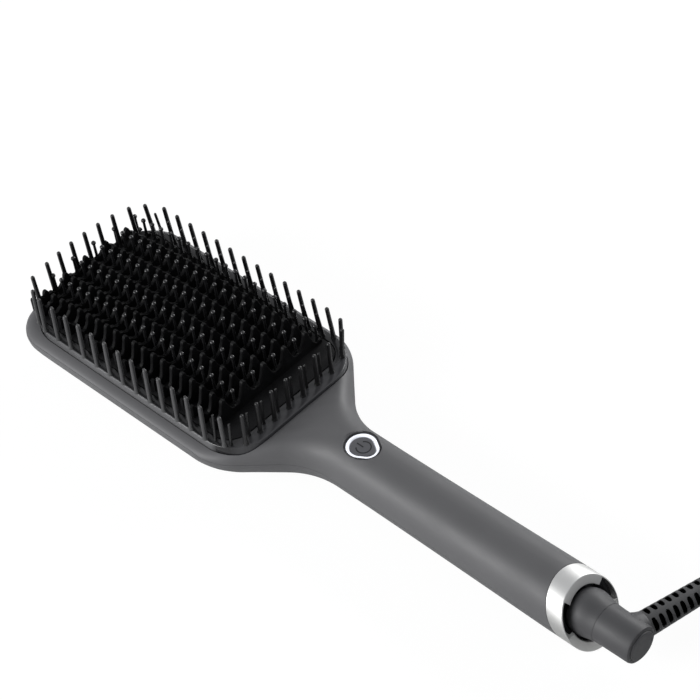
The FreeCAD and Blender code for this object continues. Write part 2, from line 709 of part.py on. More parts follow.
def comb(x):
    """One comb of the heater: blunt teeth with scalloped floors between them."""
    bed = size("bed_height")
    half_tooth = size("tooth_width") / 2
    half_row = size("row_pitch") / 2
    reach = size("comb_reach")
    blade = bed + size("edge_tooth_height")
    points = [(-reach, bed - 0.5), (-reach, blade - 0.8), (-reach + 0.5, blade),
              (-reach + half_tooth - 0.2, blade), (-reach + half_tooth + 0.4, blade - 0.9)]
    for index, y in enumerate(tooth_places()):
        top = bed + size("tooth_height") - crown(x, y)
        if index == 0:
            points += [(y - half_row + 1.2, bed + 3.4), (y - half_row + 2.6, bed + 4.0)]
        points += [(y - half_tooth, top - 1.5), (y - half_tooth + 0.35, top - 0.6), (y - 0.6, top),
                   (y + 0.6, top), (y + half_tooth - 0.35, top - 0.6), (y + half_tooth, top - 1.5)]
        floor_y = y + half_row
        floor = valley_level(x, floor_y)
        points += [(floor_y - 2.3, floor + 1.1), (floor_y - 1.0, floor), (floor_y + 1.0, floor)]
        if index < len(tooth_places()) - 1:
            points.append((floor_y + 2.3, floor + 1.1))
    points += [(reach, valley_level(x, reach) - 0.2), (reach, bed - 0.5)]
    corners = [Vector(x - size("fin_thickness") / 2, y, z) for y, z in points]
    return Part.Face(Part.makePolygon(corners + corners[:1])).extrude(ALONG * size("fin_thickness"))


def make_heater_plate():
    low = size("bed_height") - size("plate_thickness")
    plate = slab(window_loop(size("plate_gap"), low), size("plate_thickness"))
    return coded("heater_plate", plate.fuse([comb(x) for x in column_places()]))


def make_ball_pins():
    radius, stem = size("ball_radius"), size("stem_radius")
    pins = []
    for x in column_places():
        for tooth_y in tooth_places():
            y = tooth_y + size("row_pitch") / 2
            foot = Vector(x, y, valley_level(x, y))
            tip = Vector(x, y, size("bed_height") + size("ball_height") - crown(x, y))
            pins.append(stack([(foot, stem), (tip - UP * 1.85 * radius, 0.85 * stem),
                               (tip - UP * 1.35 * radius, 0.93 * radius),
                               (tip - UP * 0.65 * radius, 0.93 * radius), (tip, 0.4 * radius)]))
    return coded("ball_pins", Part.makeCompound(pins))


PLATE_LOW = "bed_height - plate_thickness"
HEATER_LOW = PLATE_LOW + " - heater_thickness"
SHEET_LOW = HEATER_LOW + " - sheet_thickness"
CLAMP_LOW = SHEET_LOW + " - clamp_thickness"
CARRIER_BASE = "bed_height - frame_thickness - carrier_height"
PACK_START = "field_centre - heater_spacing / 2 - heater_length / 2"
PACK_END = "field_centre + heater_spacing / 2 + heater_length / 2"


def make_heater_carrier():
    low = value(CARRIER_BASE)
    floor_top = low + size("carrier_floor")
    inset = size("carrier_inset")
    tray = slab(opening_loop(inset, inset, inset, low), size("carrier_height"))
    rim = size("carrier_rim") + size("plate_gap")
    tray = tray.cut(slab(window_loop(rim, floor_top), size("carrier_height")))
    notch_width = 12.0
    notch = Part.makeBox(size("opening_length"), notch_width, size("carrier_height"),
                         Vector(size("field_centre"), -notch_width / 2, floor_top))
    tray = tray.cut(notch)
    hole_radius = size("screw_radius") + size("screw_clearance")
    for x, y in POST_PLACES:
        tray = tray.cut(Part.makeCylinder(hole_radius, size("carrier_floor"), Vector(x, y, low)))
    return coded("heater_carrier", tray)


def make_heater_pack():
    heaters = []
    for side in (-1, 1):
        start = size("field_centre") + side * size("heater_spacing") / 2 - size("heater_length") / 2
        heaters.append(Part.makeBox(size("heater_length"), size("heater_width"), size("heater_thickness"),
                                    Vector(start, -size("heater_width") / 2, value(HEATER_LOW))))
    coded("ceramic_heaters", Part.makeCompound(heaters))
    half = "heater_width / 2 + 1"
    box_body("mica_sheet", (PACK_START, f"-1 * ( {half} )", SHEET_LOW), (PACK_END, half, HEATER_LOW))
    box_body("clamp_plate", (PACK_START, f"-1 * ( {half} )", CLAMP_LOW), (PACK_END, half, SHEET_LOW))


def make_sensors():
    """Temperature sensor and thermal fuse, lying across the carrier beyond the heaters."""
    level = value(PLATE_LOW) - size("sensor_radius") - size("seat_gap") / 2
    for label, step in (("temperature_sensor", 4.0), ("thermal_fuse", 8.0)):
        spot = Vector(value(PACK_END) + step, -size("sensor_length") / 2, level)
        rod = Part.makeCylinder(size("sensor_radius"), size("sensor_length"), spot, Vector(0, 1, 0))
        coded(label, rod)


def screw(x, y, seat):
    """A pan-head screw whose head bears on a seat from above, with a cross recess."""
    head = Part.makeCylinder(size("screw_head_radius"), size("screw_head_height"), Vector(x, y, seat))
    shank = Part.makeCylinder(size("screw_radius"), size("screw_length"), Vector(x, y, seat - size("screw_length")))
    top = seat + size("screw_head_height")
    body = head.fuse(shank)
    for long_x, long_y in ((2.4, 0.6), (0.6, 2.4)):
        corner = Vector(x - long_x / 2, y - long_y / 2, top - 0.6)
        body = body.cut(Part.makeBox(long_x, long_y, 1, corner))
    return body


def make_screws():
    carrier_seat = CARRIER_LOW + size("carrier_floor")
    board_seat = size("board_level") + size("board_thickness")
    coded("carrier_screws", Part.makeCompound([screw(x, y, carrier_seat) for x, y in POST_PLACES]))
    coded("board_screws", Part.makeCompound([screw(x, y, board_seat) for x, y in BOARD_SCREWS]))


# ---------------------------------------------------------------- board, switch and button

BOARD_TOP = "board_level + board_thickness"
BOARD_END = "board_start + board_length"


def make_board():
    body = new_body("circuit_board")
    base = new_sketch(body, "board_outline", "XY_Plane", out="board_level")
    rectangle(base, "board_start", BOARD_END, "-1 * board_width / 2", "board_width / 2")
    circle(base, "board_start + board_screw_inset", "0", "screw_radius + screw_clearance")
    circle(base, f"{BOARD_END} - board_screw_inset", "0", "screw_radius + screw_clearance")
    pad(body, base, "board_thickness")


def make_components():
    """The larger components that stand on the board."""
    place = "board_start + board_length / 2"
    half = "board_width / 2 - 2.5"
    box_body("power_relay", (f"{place} - 12", f"-1 * ( {half} )", BOARD_TOP),
             (place, half, f"{BOARD_TOP} + 5"))
    body = new_body("film_capacitor")
    base = new_sketch(body, "capacitor_base", "XY_Plane", out=BOARD_TOP)
    rectangle(base, f"{place} + 5", f"{place} + 15", "-1 * board_width / 6", "board_width / 3")
    block = pad(body, base, "5.5")
    rounded(body, block, "0.6", lambda edge: abs(edge.tangentAt(edge.FirstParameter).z) > 0.9)
    box_body("fuse_holder", (f"{place} + 19", "-1 * board_width / 5", BOARD_TOP),
             (f"{place} + 29", "board_width / 5", f"{BOARD_TOP} + 4.2"))


def make_leds():
    lights = []
    top = value(BOARD_TOP)
    length, width, height = 1.6, 1.0, 0.8
    reach = size("ring_wide") - size("light_foot") / 2
    for angle in (135, 225):
        turn = radians(angle)
        spot = Vector(size("button_place") + reach * cos(turn) - length / 2, reach * sin(turn) - width / 2, top)
        lights.append(Part.makeBox(length, width, height, spot))
    coded("status_lights", Part.makeCompound(lights))


SWITCH_PLACE = "button_place + button_stretch / 4"
SWITCH_TOP = BOARD_TOP + " + switch_height"
BUTTON_LOW = "button_top - button_height"


def make_switch():
    body = new_body("push_switch")
    half = "switch_width / 2"
    base = new_sketch(body, "switch_base", "XY_Plane", out=BOARD_TOP)
    rectangle(base, f"{SWITCH_PLACE} - {half}", f"{SWITCH_PLACE} + {half}", f"-1 * {half}", half)
    pad(body, base, "switch_height")
    bore = new_sketch(body, "switch_bore", "XY_Plane", out=SWITCH_TOP)
    circle(bore, SWITCH_PLACE, "0", "plunger_radius + plunger_fit")
    pocket(body, bore, "switch_height - 1")
    plunger = new_body("switch_plunger")
    disc = new_sketch(plunger, "plunger_disc", "XY_Plane", out=f"{BOARD_TOP} + 1.1 + button_travel")
    circle(disc, SWITCH_PLACE, "0", "plunger_radius")
    pad(plunger, disc, f"{BUTTON_LOW} - ( {BOARD_TOP} + 1.1 + button_travel )")


FOOT_LEVEL = "button_top - button_height + flange_height + 0.3"


def make_button():
    inner = "light_width + button_gap"
    cap = new_body("power_button")
    flange = new_sketch(cap, "button_flange", "XY_Plane", out=BUTTON_LOW)
    foot = "light_foot + button_gap"
    egg(flange, "button_place", "button_stretch", f"ring_wide - ( {foot} )", f"ring_narrow - ( {foot} )")
    pad(cap, flange, "flange_height", "Flange")
    face = new_sketch(cap, "button_face", "XY_Plane", out=BUTTON_LOW)
    egg(face, "button_place", "button_stretch", f"ring_wide - ( {inner} )", f"ring_narrow - ( {inner} )")
    block = pad(cap, face, "button_height", "Cap")
    top = value("button_top")
    rounded(cap, block, "0.5", lambda edge: abs(edge.BoundBox.ZMin - top) < 0.01)


def make_light_ring():
    ring = new_body("light_ring")
    low = f"{BOARD_TOP} + 1.6"
    outer = new_sketch(ring, "ring_outer", "XY_Plane", out=low)
    egg(outer, "button_place", "button_stretch", "ring_wide", "ring_narrow")
    pad(ring, outer, f"ring_top - ( {low} )", "Ring")
    throat = new_sketch(ring, "ring_throat", "XY_Plane", out="ring_top")
    egg(throat, "button_place", "button_stretch", "ring_wide - light_width", "ring_narrow - light_width")
    pocket(ring, throat, f"ring_top - ( {low} )", "Throat")
    foot = new_sketch(ring, "ring_foot", "XY_Plane", out=FOOT_LEVEL)
    egg(foot, "button_place", "button_stretch", "ring_wide - light_foot", "ring_narrow - light_foot")
    pocket(ring, foot, f"{FOOT_LEVEL} - ( {low} )", "Foot")


# ---------------------------------------------------------------- collar, swivel and elbow

WEB_END = f"{COLLAR_END} - 1.7 - cup_depth"
WEB_START = f"{WEB_END} - bearing_length"
HUB_START = f"{WEB_END} + hub_gap"
HUB_END = f"{HUB_START} + hub_thickness"
SLEEVE_START = f"{GRIP_END} - sleeve_length"
BODY_END = f"{BRUSH_END} - cap_height + cap_depth"


def make_collar():
    lip_start = f"{COLLAR_END} - collar_lip"
    turned_body("end_collar", [
        (GRIP_END, "collar_front - collar_wall"), (GRIP_END, "collar_front - 0.4"),
        (f"{GRIP_END} + 0.4", "collar_front"), (f"{COLLAR_END} - 0.5", "collar_rear"),
        (COLLAR_END, "collar_rear - 0.5"), (COLLAR_END, "cup_radius + 0.2"),
        (lip_start, "cup_radius + 0.2"), (lip_start, "collar_front - collar_wall")])


def make_socket():
    body_end = f"{COLLAR_END} - 1.7"
    turned_body("swivel_socket", [
        (SLEEVE_START, "slip_radius + 2.1"), (SLEEVE_START, "grip_radius - wall - 0.1"),
        (GRIP_END, "grip_radius - wall - 0.1"), (GRIP_END, "collar_front - collar_wall - 0.05"),
        (body_end, "collar_front - collar_wall - 0.05"), (body_end, "cup_radius"),
        (WEB_END, "cup_radius"), (WEB_END, "spindle_radius + spindle_fit"),
        (WEB_START, "spindle_radius + spindle_fit"), (WEB_START, "slip_radius + 2.1")])


SLIP_START = f"{SLEEVE_START} - 1"
CLIP_END = f"{WEB_START} - 0.3"


def make_elbow():
    elbow = new_body("swivel_elbow")
    profile = new_sketch(elbow, "elbow_profile", "XZ_Plane", up="grip_radius")
    outline(profile, [
        (SLIP_START, "0"), (SLIP_START, "spindle_radius"),
        (f"{CLIP_END} - clip_thickness", "spindle_radius"),
        (f"{CLIP_END} - clip_thickness", "spindle_radius - groove_depth"),
        (CLIP_END, "spindle_radius - groove_depth"), (CLIP_END, "spindle_radius"),
        (HUB_START, "spindle_radius"), (HUB_START, "hub_radius"),
        (f"{HUB_END} - 0.6", "hub_radius"), (HUB_END, "hub_radius - 0.6"), (HUB_END, "hub_cone"),
        (f"{HUB_END} + elbow_taper", "elbow_radius"),
        (f"{BODY_END} - elbow_round", "elbow_radius"),
        (f"{BODY_END} - 0.6 * elbow_round", "elbow_radius - 0.15 * elbow_round"),
        (f"{BODY_END} - 0.2 * elbow_round", "elbow_radius - 0.5 * elbow_round"),
        (BODY_END, "cap_radius + 0.1"), (f"{BODY_END} - cap_depth", "cap_radius + 0.1"),
        (f"{BODY_END} - cap_depth", "0")])
    turned(elbow, profile)
    exit_place = f"{BRUSH_END} - relief_place"
    turn = size("relief_angle") - 90
    mouth = new_sketch(elbow, "exit_boss", "XZ_Plane", exit_place, "grip_radius", "0", turn)
    circle(mouth, "0", "0", "stub_radius")
    pad(elbow, mouth, "stub_length", "Exit", back=True)
    socket = new_sketch(elbow, "exit_socket", "XZ_Plane", exit_place, "grip_radius", "0", turn)
    circle(socket, "0", "0", "root_radius + 0.05")
    pocket(elbow, socket, "stub_length + 1", "Socket", back=False)


def make_swivel_pieces():
    cap_start = f"{BRUSH_END} - cap_height"
    turned_body("elbow_cap", [
        (cap_start, "0"), (cap_start, "cap_radius"), (f"{BRUSH_END} - 0.7", "cap_radius"),
        (f"{BRUSH_END} - 0.2", "cap_radius - 0.6"), (BRUSH_END, "cap_radius - 1.8"), (BRUSH_END, "0")])
    inner = "spindle_radius - groove_depth + 0.05"
    turned_body("retaining_clip", [
        (f"{CLIP_END} - clip_thickness + 0.02", inner), (f"{CLIP_END} - clip_thickness + 0.02", "clip_radius"),
        (f"{CLIP_END} - 0.02", "clip_radius"), (f"{CLIP_END} - 0.02", inner)])
    rings = []
    brushes = []
    axis = size("grip_radius")
    for step in range(2):
        start = value(SLIP_START) + size("slip_inset") + step * size("slip_pitch")
        outer = Part.makeCylinder(size("slip_radius"), size("slip_width"), Vector(start, 0, axis), ALONG)
        bore = Part.makeCylinder(size("spindle_radius") + 0.02, size("slip_width"), Vector(start, 0, axis), ALONG)
        rings.append(outer.cut(bore))
        height = 1.6
        brushes.append(Part.makeBox(size("slip_width"), 3, height,
                                    Vector(start, -1.5, axis + size("slip_radius") + 0.3)))
    coded("slip_rings", Part.makeCompound(rings))
    coded("contact_brushes", Part.makeCompound(brushes))


# ---------------------------------------------------------------- cord, strain relief and plug

def relief_origin():
    return Vector(value(f"{BRUSH_END} - relief_place"), 0, size("grip_radius")) + SHIFT


def relief_direction():
    turn = radians(size("relief_angle"))
    return Vector(cos(turn), sin(turn), 0)


def make_strain_relief():
    """A slotted sleeve turned about its own axis, root first, then laid along the cord's exit."""
    body = doc.addObject("PartDesign::Body", "strain_relief")
    body.Label = "strain_relief"
    keep(body)
    body.Placement = Placement(relief_origin(), Rotation(UP, size("relief_angle")))
    body.setExpression("Placement.Base.x", cells(f"{BRUSH_END} - relief_place - {HALF_LENGTH}"))
    body.setExpression("Placement.Base.z", cells("grip_radius"))
    start = "stub_length - root_length"
    end = "stub_length + relief_length"
    profile = new_sketch(body, "relief_profile", "XZ_Plane")
    outline(profile, [(start, "0"), (start, "root_radius"), ("stub_length + 0.02", "root_radius"),
                      ("stub_length + 0.02", "relief_start"), ("stub_length + 3", "relief_start"),
                      (f"{end} - 2", "relief_end"), (end, "relief_end - 0.5"), (end, "0")])
    turned(body, profile)
    for plane, shift, name in (("XZ_Plane", "0", "side"), ("XY_Plane", "slot_pitch / 2", "top")):
        for side in (1, -1):
            first = f"stub_length + 5 + {shift}"
            slot = new_sketch(body, f"{name}_slot_{side}", plane, out=f"{side} * ( relief_start + 1 )")
            rectangle(slot, first, f"{first} + slot_width", "-1 * slot_length / 2", "slot_length / 2")
            cut = pocket(body, slot, "slot_depth + 1 + ( relief_start - relief_end ) / 2",
                         f"{name}_cut_{side}", back=(side < 0))
            row = body.newObject("PartDesign::LinearPattern", f"{name}_row_{side}")
            row.Originals = [cut]
            row.Direction = (slot, ["H_Axis"])
            row.setExpression("Length", cells("slot_pitch * ( slot_count - 1 )"))
            row.setExpression("Occurrences", cells("slot_count"))
            body.Tip = row


def arc_path(points):
    """A path of straight runs joined by tangent arcs as large as the runs allow."""
    edges = []
    radii = []
    start = points[0]
    for before, corner, after in zip(points, points[1:], points[2:]):
        back = before - corner
        forward = after - corner
        shorter = min(back.Length, forward.Length)
        back.normalize()
        forward.normalize()
        turn = pi - acos(max(-1.0, min(1.0, back.dot(forward))))
        reach = 0.45 * shorter
        radii.append(reach / tan(turn / 2))
        first = corner + back * reach
        last = corner + forward * reach
        inward = back + forward
        inward.normalize()
        centre = corner + inward * (radii[-1] / cos(turn / 2))
        towards = corner - centre
        towards.normalize()
        edges.append(Part.LineSegment(start, first).toShape())
        edges.append(Part.Arc(first, centre + towards * radii[-1], last).toShape())
        start = last
    edges.append(Part.LineSegment(start, points[-1]).toShape())
    return Part.Wire(edges), radii


def walk(start, steps):
    """A start and the points reached from it by (heading in degrees, run, level to reach)."""
    points = [start]
    for heading, run, level in steps:
        turn = radians(heading)
        spot = points[-1] + Vector(run * cos(turn), run * sin(turn), 0)
        points.append(Vector(spot.x, spot.y, level))
    return points


def tube(points, radius):
    """A solid round tube along a path, checked against its section times its length."""
    path, radii = arc_path(points)
    direction = points[1] - points[0]
    disc = Part.Face(Part.Wire(Part.Circle(points[0], direction, radius).toShape()))
    solid = path.makePipeShell([disc.OuterWire], True, False)
    expected = pi * radius ** 2 * path.Length
    if abs(solid.Volume - expected) > 0.01 * expected:
        raise RuntimeError("a cord tube has the wrong volume")
    return solid, radii, path.Length


def free_cord(label, points, radius):
    """A cord tube placed in the brush's own frame, with its bend radii printed."""
    solid, radii, length = tube(points, radius)
    item = doc.addObject("Part::Feature", label)
    item.Label = label
    item.Shape = solid
    keep(item)
    print(label, "length", round(length, 1), "radii", [round(radius_here, 1) for radius_here in radii],
          "points", [tuple(round(part, 3) for part in point) for point in points])


def make_cords():
    """The cord up to its coil, the coiled bundle and the cord from the coil to the plug."""
    radius = size("cord_radius")
    rest = radius + 0.05
    start = relief_origin() + relief_direction() * (size("stub_length") + size("relief_length"))
    middle = Vector(start.x + size("coil_away"), start.y - size("coil_back"), 0)
    drop = start.z - rest
    turn_step = 14.0
    runs = [size("lead_run")] + [size("lead_step")] * 4
    shares = (0.08, 0.35, 0.69, 0.94, 1.0)
    lead = walk(start, [(size("relief_angle") - turn_step * index, run, start.z - drop * share)
                        for index, (run, share) in enumerate(zip(runs, shares))])
    leave = radians(size("tail_start"))
    outer = size("coil_radius") + size("coil_band") / 2 - radius
    top = size("coil_height") - radius
    heading = size("tail_start") - 90
    off = radians(heading)
    first = middle + Vector(outer * cos(leave) + radius * cos(off), outer * sin(leave) + radius * sin(off), top)
    fall = top - size("plug_thickness") / 2
    step = size("tail_step")
    tail = walk(first, [(heading, size("tail_run"), top - 0.1 * fall), (heading - 16, step, top - 0.5 * fall),
                        (heading - 32, step, top - 0.9 * fall), (heading - 47, step, top - fall)])
    free_cord("cord_lead", lead, radius)
    free_cord("cord_tail", tail, radius)
    coil_body = doc.addObject("PartDesign::Body", "cord_coil")
    coil_body.Label = "cord_coil"
    keep(coil_body)
    coil_body.Placement = Placement(middle, Rotation())
    profile = new_sketch(coil_body, "coil_profile", "XZ_Plane")
    low, high = "coil_radius - coil_band / 2", "coil_radius + coil_band / 2"
    edge = "cord_radius"
    outline(profile, [(f"{low} + {edge}", "0"), (f"{high} - {edge}", "0"), (high, edge),
                      (high, f"coil_height - {edge}"), (f"{high} - {edge}", "coil_height"),
                      (f"{low} + {edge}", "coil_height"), (low, f"coil_height - {edge}"), (low, edge)])
    ring = coil_body.newObject("PartDesign::Revolution", "Coil")
    ring.Profile = profile
    ring.ReferenceAxis = (profile, ["V_Axis"])
    ring.Angle = 360
    return tail[-1], tail[-1] - tail[-2]


def make_plug(mouth, direction):
    """A flat two-pin plug lying on the surface, in line with the end of its cord."""
    direction.z = 0
    turn = Rotation(ALONG, direction)

    def laid(label):
        body = doc.addObject("PartDesign::Body", label)
        body.Label = label
        body.Placement = Placement(mouth, turn)
        return keep(body)

    relief = laid("plug_strain_relief")
    profile = new_sketch(relief, "tail_profile", "XZ_Plane")
    outline(profile, [("0", "0"), ("0", "cord_radius + 0.4"), ("2", "cord_radius + 0.8"),
                      ("tail_relief_length", "tail_relief_radius"), ("tail_relief_length", "0")])
    turned(relief, profile)
    start = "tail_relief_length"
    end = "tail_relief_length + plug_length"
    shell_body = laid("plug_body")
    base = new_sketch(shell_body, "plug_outline", "XY_Plane", out="-1 * plug_thickness / 2")
    narrow = "tail_relief_radius + 2"
    wide = "plug_width / 2"
    outline(base, [(start, f"-1 * ( {narrow} )"), (f"{start} + plug_taper", f"-1 * ( {wide} )"),
                   (end, f"-1 * ( {wide} )"), (end, wide), (f"{start} + plug_taper", wide),
                   (start, narrow)])
    block = pad(shell_body, base, "plug_thickness")
    rounded(shell_body, block, "plug_round", lambda edge: edge.Length > value("plug_length - plug_taper") - 0.1
            and abs(edge.tangentAt(edge.FirstParameter).x) > 0.9)
    prongs = []
    for side in (-1, 1):
        spot = Vector(value(end), side * size("prong_spacing") / 2, 0)
        rod = Part.makeCylinder(size("prong_radius"), size("prong_length"), spot, ALONG)
        tip_edges = [edge for edge in rod.Edges if edge.BoundBox.XMin > value(end) + size("prong_length") - 0.01]
        prongs.append(rod.makeFillet(0.8 * size("prong_radius") / 2, tip_edges))
    item = doc.addObject("Part::Feature", "plug_pins")
    item.Label = "plug_pins"
    item.Shape = Part.makeCompound(prongs)
    item.Placement = Placement(mouth, turn)
    keep(item)


def make_leads():
    """Insulated wires from the board to the heaters and to the swivel's contacts."""
    radius = size("wire_radius")
    top = value(BOARD_TOP) + radius
    heater_level = value(HEATER_LOW) + radius
    notch_level = value(CARRIER_BASE) + size("carrier_floor") + radius + 0.2
    pack_end = value(PACK_END)
    spread = size("wire_spread")
    low_end = pack_end + size("wire_rise")
    wires = []
    for side in (-1, 1):
        points = [Vector(pack_end + 0.1, spread * side, heater_level - 0.1),
                  Vector(low_end, spread * side, notch_level + 0.2),
                  Vector(low_end + size("wire_floor"), 0.8 * spread * side, notch_level),
                  Vector(size("board_start") + 0.6 * spread, spread * side, top)]
        wires.append(tube(points, radius)[0])
    coded("heater_leads", Part.makeCompound(wires))
    thin = 0.6 * radius
    first = value(SLIP_START) + size("slip_inset")
    level = size("grip_radius") + size("slip_radius") + 0.9
    on_board = value(BOARD_END) - size("wire_overlap")
    off_board = value(BOARD_END) + size("wire_lift")
    apart = 0.8 * spread
    drift = size("wire_drift")
    near = [Vector(on_board, apart, top), Vector(off_board, apart, top + thin),
            Vector(first - 0.1, thin + 0.4, level + 0.1)]
    far = [Vector(on_board, -apart, top), Vector(off_board, -apart, top + thin),
           Vector(first - size("wire_lift"), -drift, level),
           Vector(first + size("slip_pitch") + thin, -drift, level)]
    coded("mains_leads", Part.makeCompound([tube(points, thin)[0] for points in (near, far)]))


# ---------------------------------------------------------------- assembly

make_upper_housing()
make_rear_cover()
make_bristle_frame()
make_frame_bristles()
make_heater_plate()
make_ball_pins()
make_heater_carrier()
make_heater_pack()
make_sensors()
make_screws()
make_board()
make_components()
make_leds()
make_switch()
make_button()
make_light_ring()
make_collar()
make_socket()
make_elbow()
make_swivel_pieces()
make_strain_relief()
make_leads()
plug_mouth, plug_direction = make_cords()
make_plug(plug_mouth, plug_direction)
doc.recompute()

failed = [item.Label for item in doc.Objects if "Invalid" in item.State or "Error" in item.State]
failed += [item.Label for item in pieces
           if item.Shape.isNull() or not item.Shape.isValid() or not item.Shape.Solids]
if failed:
    raise RuntimeError("these did not build: " + ", ".join(failed))

os.makedirs("parts", exist_ok=True)
for item in pieces:
    item.Shape.exportStep(f"parts/{item.Label}.step")
print(len(pieces), "sub-parts,", sum(len(item.Shape.Solids) for item in pieces), "solids")
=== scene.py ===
"""Looks of a corded heated hair brush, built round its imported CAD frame."""

import json
from math import acos, cos, pi, radians, sin, sqrt, tan

import bmesh
import bpy
from mathutils import Matrix, Vector


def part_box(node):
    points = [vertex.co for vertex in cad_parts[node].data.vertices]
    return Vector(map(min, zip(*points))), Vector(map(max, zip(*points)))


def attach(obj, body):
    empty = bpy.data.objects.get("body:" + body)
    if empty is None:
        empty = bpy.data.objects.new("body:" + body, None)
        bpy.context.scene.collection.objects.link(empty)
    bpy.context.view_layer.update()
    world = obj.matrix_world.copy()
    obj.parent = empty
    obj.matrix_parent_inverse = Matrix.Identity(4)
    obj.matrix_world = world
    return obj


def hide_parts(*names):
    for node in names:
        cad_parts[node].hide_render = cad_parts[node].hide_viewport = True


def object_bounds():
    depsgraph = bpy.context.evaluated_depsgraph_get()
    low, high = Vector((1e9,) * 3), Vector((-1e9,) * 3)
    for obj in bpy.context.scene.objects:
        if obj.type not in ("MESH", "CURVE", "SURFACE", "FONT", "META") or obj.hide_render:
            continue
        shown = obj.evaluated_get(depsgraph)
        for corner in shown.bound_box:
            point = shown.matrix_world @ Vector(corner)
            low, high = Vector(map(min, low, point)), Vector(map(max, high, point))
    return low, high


bl_info = {
    "name": "Heated Hair Brush",
    "version": (1, 0, 0),
    "blender": (4, 5, 0),
    "location": "View3D > Sidebar > Hair Brush",
    "description": "Builds the visible pieces of a heated hair brush round its packed frame",
    "category": "Object",
}

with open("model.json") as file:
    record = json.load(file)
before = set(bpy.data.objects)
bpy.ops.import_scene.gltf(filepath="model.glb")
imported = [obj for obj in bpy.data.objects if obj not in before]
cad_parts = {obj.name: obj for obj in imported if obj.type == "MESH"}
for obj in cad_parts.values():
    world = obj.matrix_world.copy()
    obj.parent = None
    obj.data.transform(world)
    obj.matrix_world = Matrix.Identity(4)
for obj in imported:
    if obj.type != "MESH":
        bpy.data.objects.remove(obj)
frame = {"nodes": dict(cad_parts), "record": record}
NODES = frame["nodes"]
CAD_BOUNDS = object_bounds()

MM = 0.001
UP = Vector((0, 0, 1))
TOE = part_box("rear_cover")[0].x                      # the paddle's free end
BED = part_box("heater_plate")[0].z + 2 * MM           # level on which combs and bristles stand
GRIP_AXIS = 0.01195                                  # height of the grip's axis, in metres
CORD_WAY = Vector((0.2425, 0.97015, 0))              # direction in which the strain relief leaves
CORD_ROOT = Vector((0.135266, 0, GRIP_AXIS))         # where its axis meets the grip's


def along(distance):
    """X of a place given in millimetres from the toe."""
    return TOE + distance * MM


# ---------------------------------------------------------------- properties

class BrushSizes(bpy.types.PropertyGroup):
    """Sizes that shape the visible pieces."""

    seam_gap: bpy.props.FloatProperty(
        name="Seam gap", description="Width of the parting line between the shells",
        default=0.00014, unit="LENGTH")
    lip: bpy.props.FloatProperty(
        name="Lip radius", description="Rounding of moulded edges", default=0.00045, unit="LENGTH")
    bristle_radius: bpy.props.FloatProperty(
        name="Bristle radius", description="Outer bristles", default=0.0009, unit="LENGTH")
    ball_radius: bpy.props.FloatProperty(
        name="Ball radius", description="Tips of the ball pins", default=0.00097, unit="LENGTH")
    cord_radius: bpy.props.FloatProperty(
        name="Cord radius", description="Round mains cord", default=0.003, unit="LENGTH")
    cord_length: bpy.props.FloatProperty(
        name="Cord length", description="Cord from strain relief to plug",
        default=1.7, unit="LENGTH")
    coil_turns: bpy.props.IntProperty(
        name="Coil turns", description="Turns of the stored cord", default=7)


def colour(name, description, value):
    """A colour property without transparency."""
    return bpy.props.FloatVectorProperty(
        name=name, description=description, subtype="COLOR", size=4, min=0, max=1,
        default=(*value, 1.0))


class BrushColours(bpy.types.PropertyGroup):
    """Colours of the visible finishes."""

    housing: colour("Housing", "Soft-touch grip and paddle", (0.115, 0.115, 0.119))
    bezel: colour("Bezel", "Frame that carries the bristles", (0.012, 0.012, 0.013))
    bristle: colour("Bristle", "Nylon bristles", (0.006, 0.006, 0.0066))
    pin: colour("Pin", "Ball-tipped pins", (0.014, 0.014, 0.015))
    comb: colour("Comb", "Coated heater combs", (0.0055, 0.0055, 0.006))
    button: colour("Button", "Button cap", (0.095, 0.096, 0.105))
    light: colour("Light", "Ring round the button", (0.86, 0.88, 0.95))
    collar: colour("Collar", "Metal end collar", (0.63, 0.63, 0.62))
    elbow: colour("Elbow", "Swivel elbow", (0.0696, 0.0696, 0.0732))
    sleeve: colour("Sleeve", "Slotted strain relief", (0.062, 0.062, 0.064))
    rubber: colour("Rubber", "Cord and the plug's sleeve", (0.022, 0.022, 0.024))


# ---------------------------------------------------------------- finishes

class Signal:
    """A value in a node tree that Python's operators work on."""

    def __init__(self, tree, socket):
        self.tree = tree
        self.socket = socket

    def _maths(self, operation, first, second):
        return self.tree.node("ShaderNodeMath", {"operation": operation}, {0: first, 1: second})

    def __add__(self, other):
        return self._maths("ADD", self, other)

    def __sub__(self, other):
        return self._maths("SUBTRACT", self, other)

    def __mul__(self, other):
        return self._maths("MULTIPLY", self, other)

    def __rsub__(self, other):
        return self._maths("SUBTRACT", other, self)

    __radd__ = __add__
    __rmul__ = __mul__


class Tree:
    """A node tree and the one way in which nodes are added to it."""

    def __init__(self, tree):
        self.tree = tree
        self.tree.nodes.clear()

    def node(self, kind, settings=None, sockets=None, output=0):
        """Adds a node: its settings first, then the values or links of its sockets."""
        made = self.tree.nodes.new(kind)
        for key, setting in (settings or {}).items():
            setattr(made, key, setting)
        for key, value in (sockets or {}).items():
            if isinstance(value, (Signal, list)):
                for signal in value if isinstance(value, list) else [value]:
                    self.tree.links.new(signal.socket, made.inputs[key])
            else:
                made.inputs[key].default_value = value
        return Signal(self, made.outputs[output]) if made.outputs else None


